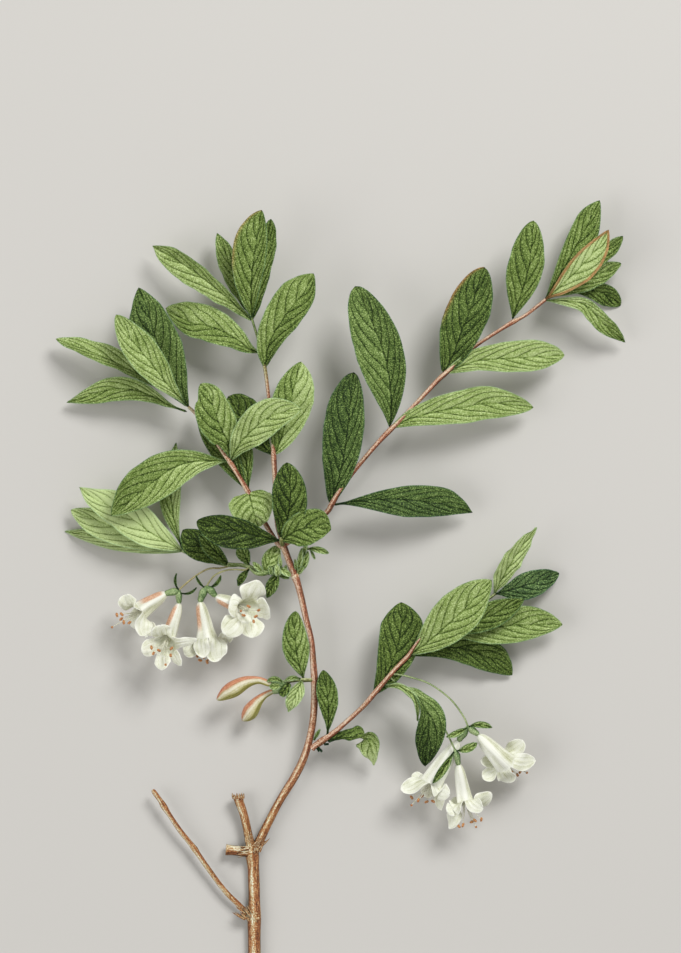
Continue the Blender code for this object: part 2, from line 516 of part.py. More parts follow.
def build():
    for obj in list(bpy.data.objects):
        bpy.data.objects.remove(obj)
    finish(woody_stem(), BARK, 0.8)
    finish(top_left_shoot(), LEAF_GREEN, 0.6)
    finish(left_shoot(), LEAF_GREEN, 0.6)
    finish(flower_spur(), LEAF_GREEN, 0.6)
    finish(crown_leaves(), DARK_GREEN, 0.6)
    finish(right_shoot(), LEAF_GREEN, 0.6)
    finish(right_spur(), LEAF_GREEN, 0.6)
    finish(bud_spur(), LEAF_GREEN, 0.6)
    finish(lower_right_shoot(), LEAF_GREEN, 0.6)
    for stalk in flower_stalks():
        finish(stalk, STALK_GREEN, 0.6)
    for bloom in flowers():
        finish(bloom, PETAL_WHITE, 0.5)
    for bud in buds():
        finish(bud, BUD_CREAM, 0.5)


build()
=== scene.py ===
import math
import random

import bpy
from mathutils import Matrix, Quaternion, Vector


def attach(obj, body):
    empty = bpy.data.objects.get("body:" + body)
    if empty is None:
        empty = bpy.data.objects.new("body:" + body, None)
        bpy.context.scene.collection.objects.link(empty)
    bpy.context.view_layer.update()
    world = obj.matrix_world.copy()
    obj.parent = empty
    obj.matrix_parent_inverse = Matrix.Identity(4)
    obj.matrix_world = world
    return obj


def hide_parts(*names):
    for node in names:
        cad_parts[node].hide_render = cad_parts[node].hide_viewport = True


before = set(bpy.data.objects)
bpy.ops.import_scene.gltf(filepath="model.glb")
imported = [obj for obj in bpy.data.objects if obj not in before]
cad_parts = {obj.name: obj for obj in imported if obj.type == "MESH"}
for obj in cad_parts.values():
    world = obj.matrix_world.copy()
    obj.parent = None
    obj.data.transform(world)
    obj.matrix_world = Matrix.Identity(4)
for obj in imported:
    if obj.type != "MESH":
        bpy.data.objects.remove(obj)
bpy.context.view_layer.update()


# The table top that the cut branch lies on: a plain pale board, wider than any view of it, seen from
# straight above. It is lit softly by a large panel above right, a weaker one at the left and the air.
MM = 0.001
UP = Vector((0, 0, 1))
BOARD_HALF = 6.0
BOARD_COLOUR = (0.6, 0.585, 0.555, 1)
BOARD_ROUGHNESS = 0.9
VIEW_CENTRE = Vector((0.18, 37.62, 13)) * MM
VIEW_HEIGHT = 343.08 * MM
LENS, SENSOR = 300, 36
FAR_CLIP = 20
AIR_COLOUR = (1.0, 0.99, 0.97, 1)
AIR_STRENGTH = 0.42
# Name, place, size and power of each panel.
PANELS = (("key_panel", (0.75, 1.15, 1.5), 0.75, 28),
          ("fill_panel", (-1.3, -0.3, 1.3), 1.2, 10))


def linked(name, data):
    """A new object of the scene with this data."""
    made = bpy.data.objects.new(name, data)
    bpy.context.scene.collection.objects.link(made)
    return made


board_paint = bpy.data.materials.new("board_paint")
board_paint.use_nodes = True
board_shader = board_paint.node_tree.nodes["Principled BSDF"]
board_shader.inputs["Base Color"].default_value = BOARD_COLOUR
board_shader.inputs["Roughness"].default_value = BOARD_ROUGHNESS
board_mesh = bpy.data.meshes.new("board")
corners = [(x * BOARD_HALF, y * BOARD_HALF, 0) for x, y in ((-1, -1), (1, -1), (1, 1), (-1, 1))]
board_mesh.from_pydata(corners, [], [(0, 1, 2, 3)])
board_mesh.materials.append(board_paint)
board = linked("board", board_mesh)

camera_data = bpy.data.cameras.new("camera")
camera_data.lens, camera_data.sensor_width = LENS, SENSOR
camera_data.clip_end = FAR_CLIP
camera = linked("camera", camera_data)
camera.location = VIEW_CENTRE + UP * (VIEW_HEIGHT * LENS / SENSOR)
bpy.context.scene.camera = camera

for name, place, size, power in PANELS:
    panel = bpy.data.lights.new(name, "AREA")
    panel.size, panel.energy = size, power
    lamp = linked(name, panel)
    lamp.location = place
    lamp.rotation_euler = (VIEW_CENTRE - lamp.location).to_track_quat("-Z", "Y").to_euler()

air = bpy.data.worlds.new("air")
air.use_nodes = True
glow = air.node_tree.nodes["Background"].inputs
glow["Color"].default_value = AIR_COLOUR
glow["Strength"].default_value = AIR_STRENGTH
bpy.context.scene.world = air
bpy.context.scene.view_settings.view_transform = "Standard"


# The woody stem: trunk, main stem, a sawn stub, a short side stub and an old bare twig, all one
# grown piece of thin-barked wood. Streaky tan bark flakes at the forks; the ends are saw cuts.
class Flow:
    """A number on its way through a node tree; sums, products and powers of it add the nodes they need."""

    def __init__(self, tree, socket):
        self.tree, self.socket = tree, socket

    def calc(self, operation, *values):
        made = self.tree.nodes.new("ShaderNodeMath")
        made.operation = operation
        for socket, value in zip(made.inputs, values):
            wire(self.tree, socket, value)
        return Flow(self.tree, made.outputs[0])

    def op(self, operation, *others):
        return self.calc(operation, self, *others)

    def __add__(self, other):
        return self.op("ADD", other)

    def __sub__(self, other):
        return self.op("SUBTRACT", other)

    def __rsub__(self, other):
        return self.calc("SUBTRACT", other, self)

    def __mul__(self, other):
        return self.op("MULTIPLY", other)

    def __truediv__(self, other):
        return self.op("DIVIDE", other)

    def __rtruediv__(self, other):
        return self.calc("DIVIDE", other, self)

    def __pow__(self, other):
        return self.op("POWER", other)

    def bell(self, width):
        """1 where the number is 0, falling to 0 over about twice the width."""
        ratio = self / width
        return (ratio * ratio * -1.0).op("EXPONENT")

    def step(self, low, high):
        """0 on the far side of low, 1 past high, and a smooth change between."""
        made = node(self.tree, "ShaderNodeMapRange", {"Value": self, "From Min": low, "From Max": high},
                    interpolation_type="SMOOTHSTEP")
        return Flow(self.tree, made.outputs["Result"])

    def mix(self, first, second):
        """first where the number is 0, second where it is 1."""
        return self * (second - first) + first


def wire(tree, socket, value):
    """Feed a socket from another socket, or set its constant."""
    if isinstance(value, Flow):
        value = value.socket
    if isinstance(value, bpy.types.NodeSocket):
        tree.links.new(value, socket)
    else:
        socket.default_value = value


def node(tree, kind, inputs=None, **settings):
    """One node with its settings, its inputs wired by name."""
    made = tree.nodes.new(kind)
    for key, value in settings.items():
        setattr(made, key, value)
    for key, value in (inputs or {}).items():
        wire(tree, made.inputs[key], value)
    return made


def vectors(tree, operation, *values):
    made = node(tree, "ShaderNodeVectorMath", operation=operation)
    for socket, value in zip(made.inputs, values):
        wire(tree, socket, value)
    return made.outputs["Vector"]


def scaled(tree, vector, factor):
    made = node(tree, "ShaderNodeVectorMath", operation="SCALE")
    wire(tree, made.inputs[0], vector)
    wire(tree, made.inputs["Scale"], factor)
    return made.outputs["Vector"]


def parts_of(tree, vector):
    """The three numbers of a vector."""
    made = node(tree, "ShaderNodeSeparateXYZ", {"Vector": vector})
    return [Flow(tree, out) for out in made.outputs]


def joined(tree, x, y, z):
    return node(tree, "ShaderNodeCombineXYZ", {"X": x, "Y": y, "Z": z}).outputs["Vector"]


def on_a_roll(tree, turn, size, along):
    """Place on a long round roll, where a texture closes round a stem; turn is 0 to 1 round the stem."""
    angle = turn * (2 * math.pi)
    return joined(tree, angle.op("COSINE") * size, angle.op("SINE") * size, along)


def noise(tree, vector, scale, detail=2.0, roughness=0.5):
    """Cloudy value between 0 and 1."""
    made = node(tree, "ShaderNodeTexNoise",
                {"Vector": vector, "Scale": scale, "Detail": detail, "Roughness": roughness})
    return Flow(tree, made.outputs[0])


def tree_inputs(name, geometry, values, result):
    """Geometry tree with its named inputs made; returns the tree and the sockets by name."""
    tree = bpy.data.node_groups.new(name, "GeometryNodeTree")
    tree.interface.new_socket(name=geometry, in_out="INPUT", socket_type="NodeSocketGeometry")
    for key, value in values.items():
        kind = "NodeSocketInt" if isinstance(value, int) else "NodeSocketFloat"
        tree.interface.new_socket(name=key, in_out="INPUT", socket_type=kind).default_value = value
    tree.interface.new_socket(name="Material", in_out="INPUT", socket_type="NodeSocketMaterial")
    tree.interface.new_socket(name=result, in_out="OUTPUT", socket_type="NodeSocketGeometry")
    return tree, tree.nodes.new("NodeGroupInput").outputs


def named(tree, name, kind="FLOAT"):
    """An attribute of the geometry, as a number or a vector."""
    out = node(tree, "GeometryNodeInputNamedAttribute", {"Name": name}, data_type=kind).outputs["Attribute"]
    return Flow(tree, out) if kind == "FLOAT" else out


def stored(tree, geometry, name, value, kind="FLOAT"):
    """The geometry with a value written on its points."""
    made = node(tree, "GeometryNodeStoreNamedAttribute", {"Geometry": geometry, "Name": name},
                data_type=kind, domain="POINT")
    wire(tree, made.inputs["Value"], value)
    return made.outputs["Geometry"]


def changed(tree, kind, geometry, **inputs):
    """The geometry after one of the nodes that take it and give it back."""
    return node(tree, "GeometryNode" + kind, {"Geometry": geometry, **inputs}).outputs["Geometry"]


def finished(tree, geometry, given):
    """Last nodes of every tree: smooth faces, real meshes and their material."""
    geometry = changed(tree, "SetShadeSmooth", geometry)
    geometry = changed(tree, "RealizeInstances", geometry)
    geometry = changed(tree, "SetMaterial", geometry, Material=given["Material"])
    tree.links.new(geometry, tree.nodes.new("NodeGroupOutput").inputs[0])


def smooth_lines(tree, mesh, mode, **spacing):
    """Smooth curves through the points of each line, with new points evenly along them."""
    lines = node(tree, "GeometryNodeMeshToCurve", {"Mesh": mesh}).outputs["Curve"]
    lines = node(tree, "GeometryNodeCurveSplineType", {"Curve": lines}, spline_type="CATMULL_ROM")
    lines = node(tree, "GeometryNodeResampleCurve", {"Curve": lines.outputs["Curve"], **spacing}, mode=mode)
    return lines.outputs["Curve"]


def sheath(tree, lines, sides, capped):
    """A hair-thin tube round each line, with "turn" on its points: 0 to 1 round the line."""
    ring = node(tree, "GeometryNodeCurvePrimitiveCircle", {"Resolution": sides, "Radius": 0.1 * MM})
    turn = node(tree, "GeometryNodeSplineParameter").outputs["Factor"]
    ring = stored(tree, ring.outputs["Curve"], "turn", turn)
    skin = node(tree, "GeometryNodeCurveToMesh", {"Curve": lines, "Profile Curve": ring, "Fill Caps": capped})
    return skin.outputs["Mesh"]


def stem_tree():
    """Round stems along lines: each point's own thickness, with knobbly, fluted bark."""
    tree, given = tree_inputs("round_stems", "Lines", {
        "Sides": 16, "Step": 0.7 * MM, "Bark depth": 0.1, "Bark grain": 2.0, "Bark stretch": 90.0}, "Stems")
    where = node(tree, "GeometryNodeInputPosition").outputs["Position"]
    lines = smooth_lines(tree, given["Lines"], "LENGTH", Length=given["Step"])
    lines = stored(tree, lines, "run", node(tree, "GeometryNodeSplineParameter").outputs["Length"])
    lines = stored(tree, lines, "pith", where, "FLOAT_VECTOR")
    skin = sheath(tree, lines, given["Sides"], True)
    pith, run = named(tree, "pith", "FLOAT_VECTOR"), named(tree, "run")
    grain = on_a_roll(tree, named(tree, "turn"), given["Bark grain"], run * given["Bark stretch"])
    grain = vectors(tree, "ADD", grain, scaled(tree, pith, 9.0))
    ridge = noise(tree, grain, 1.0, 3.0, 0.6) - 0.5
    radius = named(tree, "girth") * (ridge * given["Bark depth"] + 1.0) * MM
    out = vectors(tree, "NORMALIZE", vectors(tree, "SUBTRACT", where, pith))
    x, y, z = parts_of(tree, vectors(tree, "ADD", pith, scaled(tree, out, radius)))
    above_table = joined(tree, x, y, z.op("MAXIMUM", 0.0))
    skin = changed(tree, "SetPosition", skin, Position=above_table)
    skin = stored(tree, skin, "ridge", ridge)
    finished(tree, changed(tree, "MergeByDistance", skin, Distance=0.01 * MM), given)
    return tree


STEMS = stem_tree()
SHARP_ANGLE = math.radians(50)


def written(mesh, name, values):
    """Write an attribute on a mesh: one number or one triple per point."""
    if isinstance(values[0], tuple):
        numbers = [number for triple in values for number in triple]
        mesh.attributes.new(name, "FLOAT_VECTOR", "POINT").data.foreach_set("vector", numbers)
    else:
        mesh.attributes.new(name, "FLOAT", "POINT").data.foreach_set("value", values)


def lines_mesh(name, lines):
    """Edges along each line, with its values on their points.

    A line is (points in millimetres, {value name: one number, one triple, or a list of them})."""
    spots, edges, values = [], [], {}
    for points, own in lines:
        start = len(spots)
        spots += [Vector(p[:3]) * MM for p in points]
        edges += [(start + i, start + i + 1) for i in range(len(points) - 1)]
        for key, value in own.items():
            values.setdefault(key, []).extend(value if isinstance(value, list) else [value] * len(points))
    mesh = bpy.data.meshes.new(name)
    mesh.from_pydata(spots, edges, [])
    for key, value in values.items():
        written(mesh, key, value)
    return mesh


def plain(piece):
    """Turn a piece into a plain mesh, as its modifiers make it."""
    seen = piece.evaluated_get(bpy.context.evaluated_depsgraph_get())
    mesh = bpy.data.meshes.new_from_object(seen)
    mesh.name = piece.name
    piece.modifiers.clear()
    piece.data = mesh


def placed(piece, slot, *nodes):
    """The piece moves with the branch and stands for its solid."""
    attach(piece, "root")
    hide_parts(*nodes)


def grown(name, lines, tree, material, slot, solid, **values):
    """A piece that a geometry tree makes from lines, as a plain mesh in its place."""
    piece = linked(name, lines_mesh(name + "_lines", lines))
    maker = piece.modifiers.new(tree.name, "NODES")
    maker.node_group = tree
    wanted = {key.replace("_", " ").capitalize(): value for key, value in values.items()}
    wanted["Material"] = material
    for socket in tree.interface.items_tree:
        if socket.in_out == "INPUT" and socket.name in wanted:
            maker[socket.identifier] = wanted[socket.name]
    plain(piece)
    piece.data.set_sharp_from_angle(angle=SHARP_ANGLE)
    placed(piece, slot, solid)


def stem(points, young=0.0, green=0.0):
    """Line of a stem from points (x, y, z, radius), old brown bark where young and green are 0.

    young is 1 on a red-brown shoot and green 1 on a fresh tip, for the whole line or point by point."""
    return points, {"girth": [p[3] for p in points], "young": young, "green": green}


def rgb(red, green, blue):
    """Linear colour from the usual 0 to 255 numbers."""
    shares = [c / 255 for c in (red, green, blue)]
    return tuple(c / 12.92 if c <= 0.04045 else ((c + 0.055) / 1.055) ** 2.4 for c in shares) + (1.0,)


def ramp(tree, value, *stops):
    """Colour read off a scale of stops: place, red, green, blue."""
    made = node(tree, "ShaderNodeValToRGB", {"Fac": value})
    while len(made.color_ramp.elements) < len(stops):
        made.color_ramp.elements.new(0.5)
    for element, (place, *colour) in zip(made.color_ramp.elements, stops):
        element.position, element.color = place, rgb(*colour)
    return made.outputs["Color"]


def blend(tree, share, first, second):
    """first where the share is 0, second where it is 1 or more."""
    made = node(tree, "ShaderNodeMix", data_type="RGBA")
    for socket, value in zip([s for s in made.inputs if s.enabled], (share, first, second)):
        wire(tree, socket, value)
    return [s for s in made.outputs if s.enabled][0]


def held(tree, name, vector=False):
    """A value written on the piece's own points, read by its material."""
    made = node(tree, "ShaderNodeAttribute", attribute_name=name)
    return made.outputs["Vector"] if vector else Flow(tree, made.outputs["Fac"])


def shader_group(name, inputs, outputs):
    """Empty shader group; returns it, its input sockets and its output node's sockets."""
    group = bpy.data.node_groups.new(name, "ShaderNodeTree")
    for key, value in inputs.items():
        made = group.interface.new_socket(name=key, in_out="INPUT", socket_type="NodeSocketFloat")
        made.default_value = value
    for key in outputs:
        group.interface.new_socket(name=key, in_out="OUTPUT", socket_type="NodeSocketFloat")
    return group, group.nodes.new("NodeGroupInput").outputs, group.nodes.new("NodeGroupOutput").inputs


def read(tree, group, *names, **inputs):
    """Outputs of a shader group that a material uses, with any of its inputs set by name."""
    made = node(tree, "ShaderNodeGroup", inputs, node_tree=group)
    return [Flow(tree, made.outputs[name]) for name in names]


def stipple_group():
    """Fine dots and larger clouds that every skin of the plant has: pores, hairs and dust."""
    sizes = {"Dot size mm": 0.42, "Cloud size mm": 6.0}
    group, given, out = shader_group("stipple", sizes, ["Dots", "Clouds"])
    spot = node(group, "ShaderNodeTexCoord").outputs["Object"]
    dots = noise(group, spot, 1000.0 / Flow(group, given["Dot size mm"]), 2.0, 0.55)
    clouds = noise(group, spot, 1000.0 / Flow(group, given["Cloud size mm"]), 2.0)
    wire(group, out["Dots"], dots.step(0.3, 0.7))
    wire(group, out["Clouds"], clouds.step(0.25, 0.75))
    return group


def stem_facing_group():
    """Which way the skin of a round stem looks, and how far it is from the pith in shares of the girth."""
    group, _, out = shader_group("stem_facing", {}, ["Right", "Onward", "Up", "Far"])
    spot = node(group, "ShaderNodeTexCoord").outputs["Object"]
    off = vectors(group, "SUBTRACT", spot, held(group, "pith", True))
    x, y, z = parts_of(group, off)
    wire(group, out["Far"], (x * x + y * y + z * z) ** 0.5 / (held(group, "girth") * MM))
    for name, share in zip(("Right", "Onward", "Up"), parts_of(group, vectors(group, "NORMALIZE", off))):
        wire(group, out[name], share)
    return group


def fibre_group():
    """Long streaks that run up a stem or a bud and close round it."""
    sizes = {"Size": 3.4, "Stretch": 200.0, "Detail": 4.0, "Roughness": 0.65}
    group, given, out = shader_group("fibre", sizes, ["Fibre"])
    roll = on_a_roll(group, held(group, "turn"), given["Size"], held(group, "run") * given["Stretch"])
    wire(group, out["Fibre"], noise(group, roll, 1.0, given["Detail"], given["Roughness"]))
    return group


STIPPLE = stipple_group()
STEM_FACING = stem_facing_group()
FIBRE = fibre_group()


def new_material(name):
    """New material; returns it, its tree and the two stipple values."""
    made = bpy.data.materials.new(name)
    made.use_nodes = True
    return made, made.node_tree, *read(made.node_tree, STIPPLE, "Dots", "Clouds")


def painted(tree, colour, roughness, height, distance=0.3 * MM, specular=0.5):
    """Give the material's shader its colour, its gloss and a bump of this height."""
    shader = tree.nodes["Principled BSDF"].inputs
    wire(tree, shader["Base Color"], colour)
    wire(tree, shader["Roughness"], roughness)
    wire(tree, shader["Specular IOR Level"], specular)
    bump = node(tree, "ShaderNodeBump", {"Height": height, "Distance": distance, "Strength": 1.0})
    wire(tree, shader["Normal"], bump.outputs["Normal"])


def bark_material():
    """Old bark is tan, with a painted highlight band along its top, a little to its left, and specked with
    algae on its flanks, which painted shade darkens; young bark is red-brown with a painted highlight line on
    its left, painted darker on its right, then green. Sawn ends show their rings."""
    made, tree, dots, clouds = new_material("streaky_bark")
    right, onward, up, far = read(tree, STEM_FACING, "Right", "Onward", "Up", "Far")
    young, ridge = held(tree, "young"), held(tree, "ridge")
    fibre, = read(tree, FIBRE, "Fibre")
    # Painted light: left is how far the skin faces the left and the top of the view; pale is a painted
    # highlight band there, on top.
    left = right * -0.85 + onward * 0.4
    pale = (left - 0.25).bell(0.3) * up.step(0.0, 0.4)
    # flank is where the skin turns away from the sky: painted shade darkens it there, and algae speck it.
    flank = up.step(0.5, 0.1)
    grain = (fibre - 0.5) * 1.35 + (dots - 0.5) * 0.5 + ridge * 0.9
    tone = grain + pale * (0.48 - young * 0.12) - flank * 0.24 + held(tree, "pale") * 0.24
    old = ramp(tree, tone + 0.34, (0.05, 72, 36, 16), (0.3, 144, 78, 34), (0.56, 190, 130, 74),
               (0.85, 226, 216, 172), (1.0, 248, 246, 224))
    # Young bark is painted lighter on its left and darker on its right, as light and shade.
    new = ramp(tree, tone + 0.46 + left * 0.3, (0.0, 66, 30, 16), (0.32, 134, 72, 44), (0.6, 188, 124, 90),
               (0.95, 236, 212, 186))
    fresh = ramp(tree, tone + 0.4, (0.1, 50, 70, 26), (0.5, 106, 132, 62), (0.9, 180, 200, 138))
    algae = ramp(tree, fibre, (0.3, 66, 74, 40), (0.7, 170, 182, 138))
    colour = blend(tree, young, old, new)
    colour = blend(tree, held(tree, "green") + (clouds - 0.5) * 0.2, colour, fresh)
    colour = blend(tree, flank * dots.step(0.2, 0.8) * (0.85 - young * 0.35), colour, algae)
    rings = (far * 24.0).op("SINE") * 0.22 + (fibre - 0.5) * 0.7 - far.bell(0.1) * 0.5 + 0.55
    sawn = ramp(tree, rings, (0.0, 112, 66, 34), (0.4, 178, 126, 76), (1.0, 226, 196, 146))
    colour = blend(tree, far.step(0.82, 0.74), colour, sawn)
    painted(tree, colour, fibre * 0.3 + 0.5, fibre + dots * 0.4)
    return made


BARK = bark_material()

trunk = [(-31, -137.2, 2.0, 2.35), (-31, -129, 2.0, 2.3), (-31, -122, 2.1, 2.45), (-31, -115, 2.0, 2.15),
         (-31.3, -104, 2.0, 2.1), (-31.7, -99, 2.5, 2.4), (-32, -95.4, 3, 1.8)]
main_stem = [(-31.8, -99.5, 2.7, 1.9), (-28.4, -92.5, 3.5, 1.62), (-25.2, -86, 4.2, 1.5),
             (-21.4, -78.8, 5, 1.45), (-16.9, -71.6, 6.2, 1.5), (-13.3, -64.4, 7.4, 1.42),
             (-11, -57.2, 8.4, 1.3), (-9.7, -50, 9.2, 1.25), (-9.2, -42.8, 10, 1.25),
             (-9.2, -35.6, 10.8, 1.3), (-9.7, -28.4, 11.6, 1.12), (-10.3, -21.2, 12.4, 1.0),
             (-12.1, -14, 13.2, 1.05), (-13.7, -6.8, 13.9, 1.12), (-15.1, -1.4, 14.4, 1.18),
             (-16.2, 1.8, 14.7, 1.4), (-17.8, 5.8, 15, 1.2), (-19.1, 9.4, 15.3, 1.15),
             (-20.3, 12.7, 15.5, 1.25), (-20.9, 14.6, 15.9, 0.95)]
stub = [(-32, -97.5, 3, 1.8), (-33.2, -91.5, 3.5, 1.55), (-34.6, -85, 3.9, 1.5), (-36.3, -80, 4.4, 1.62),
        (-36.7, -78.2, 4.5, 1.95)]
side_stub = [(-32, -98.2, 2.8, 2.0), (-36, -97.7, 2.9, 1.85), (-39, -97.4, 2.9, 1.8),
             (-41.2, -97.2, 3, 2.05)]
old_twig = [(-31.6, -123.4, 2.4, 1.4), (-33.6, -120.6, 2.6, 1.2), (-36, -117.7, 2.8, 1.0),
            (-41.4, -112.3, 3.2, 0.95), (-46.8, -105.1, 3.6, 0.9), (-51.2, -98.8, 3.9, 0.95),
            (-52.4, -97, 4, 1.15), (-54.4, -94.4, 4.1, 0.9), (-57.6, -90.4, 4.4, 0.88),
            (-61.4, -84.8, 4.8, 0.85), (-63.6, -81.4, 5, 1.15), (-64.8, -79.4, 5.1, 0.85),
            (-67, -76.4, 5.2, 0.85), (-67.6, -75.4, 5.2, 0.5)]

random.seed(11)


def shreds(centre, heading, count, spread, length):
    """Loose flakes of bark that lift off along a fork; heading and spread are in degrees."""
    made = []
    for _ in range(count):
        turn = math.radians(heading + random.uniform(-spread, spread))
        aside = Vector((random.uniform(-1.4, 1.4), random.uniform(-1.4, 1.4), random.uniform(0, 0.9)))
        start = Vector(centre) + aside
        way = Vector((math.cos(turn), math.sin(turn), random.uniform(0.02, 0.3)))
        way *= length * random.uniform(0.5, 1.0)
        girth = random.uniform(0.3, 0.5)
        made.append(stem([(*start, girth), (*(start + way * 0.5), girth * 0.9),
                          (*(start + way), girth * 0.15)]))
    return made


flakes = (shreds((-33, -121.5, 3.6), 135, 12, 22, 5.2) + shreds((-30.2, -97, 4.2), 60, 12, 18, 6.2)
          + shreds((-33.5, -97.5, 3.9), 178, 8, 30, 4.6) + shreds((-32.6, -95.4, 4), 100, 8, 22, 4.6))

# A crown of splinters round the sawn top of the stub.
STUB_TOP = Vector((-36.7, -78.6, 4.5))
RIM_ACROSS, RIM_UP = 1.75, 1.7
SPLINTER_COUNT = 14
splinters = []
for k in range(SPLINTER_COUNT):
    turn = 2 * math.pi * k / SPLINTER_COUNT
    rim = STUB_TOP + Vector((RIM_ACROSS * math.cos(turn), 0, RIM_UP * math.sin(turn)))
    top = rim + Vector((0.35 * math.cos(turn) - 0.15, random.uniform(0.6, 2.0), 0.3 * math.sin(turn)))
    splinters.append(stem([(*rim, 0.5), (*rim.lerp(top, 0.6), 0.36), (*top, 0.12)]))

knot = [stem([(-31.6, -121.6, 4.0, 0.5), (-30.4, -122.4, 4.3, 0.75), (-29.2, -121.8, 3.8, 0.5)]),
        stem([(-30.9, -119.8, 4.1, 0.3), (-30.2, -120.4, 4.3, 0.45), (-29.6, -120, 4.1, 0.3)])]
scar_line, scar_bark = stem([(-15.7, 1.0, 14.6, 1.1), (-15.95, 1.5, 14.7, 1.5), (-16.25, 2.1, 14.75, 1.52),
                             (-16.5, 2.6, 14.8, 1.1)], 0.6)
scar_bark["pale"] = 1.0

# The main stem's bark turns from old to young over this stretch of its way up.
OLD_UP_TO, YOUNG_FROM = -86, -46
ages = [min(1.0, max(0.0, (p[1] - OLD_UP_TO) / (YOUNG_FROM - OLD_UP_TO))) for p in main_stem]
wood = [stem(trunk), stem(main_stem, ages), stem(stub), stem(side_stub), stem(old_twig)]
grown("woody_stem_bark", wood, STEMS, BARK, "bark", "woody_stem", sides=40, step=0.6 * MM, bark_depth=0.26,
      bark_grain=2.4, bark_stretch=110.0)
grown("bark_flakes", flakes + splinters + knot, STEMS, BARK, "bark", "woody_stem", sides=8, step=0.8 * MM,
      bark_depth=0.35)
grown("leaf_scar_ring", [(scar_line, scar_bark)], STEMS, BARK, "bark", "woody_stem", sides=32, step=0.3 * MM,
      bark_depth=0.2)


# Top left leafy shoot: a wiry twig with leaf pairs and a tip of four leaves. Leaves are thin blades
# folded along a sunken midrib, with bowed side veins and waved margins, grown from the twig by a short stalk.
def twig(name, solid, stems, sides=14, bark_depth=0.14, step=0.8 * MM, slot="leaf"):
    """The young wood of a shoot or spur."""
    grown(name, stems, STEMS, BARK, slot, solid, sides=sides, step=step, bark_depth=bark_depth)


def vein_lines(u, v, half, count, length, phase):
    """Distances in millimetres, in the plane of the blade, to the nearest side vein and to the midrib,
    and the number of the vein.

    u runs from root to tip, v from the right margin at -1 to the left one at 1."""
    w = v.op("ABSOLUTE")
    left = v.op("GREATER_THAN", 0.0)
    reach = w * 0.3 + w * w * w * 0.22
    uneven = noise(u.tree, joined(u.tree, u * 3.0, phase * 31.0, left), 1.0, 1.0) - 0.5
    order = (u - reach) * count + left * phase + uneven * 0.5
    strip = order.op("PINGPONG", 0.5)
    return strip / count * length * 0.5, w * half, order


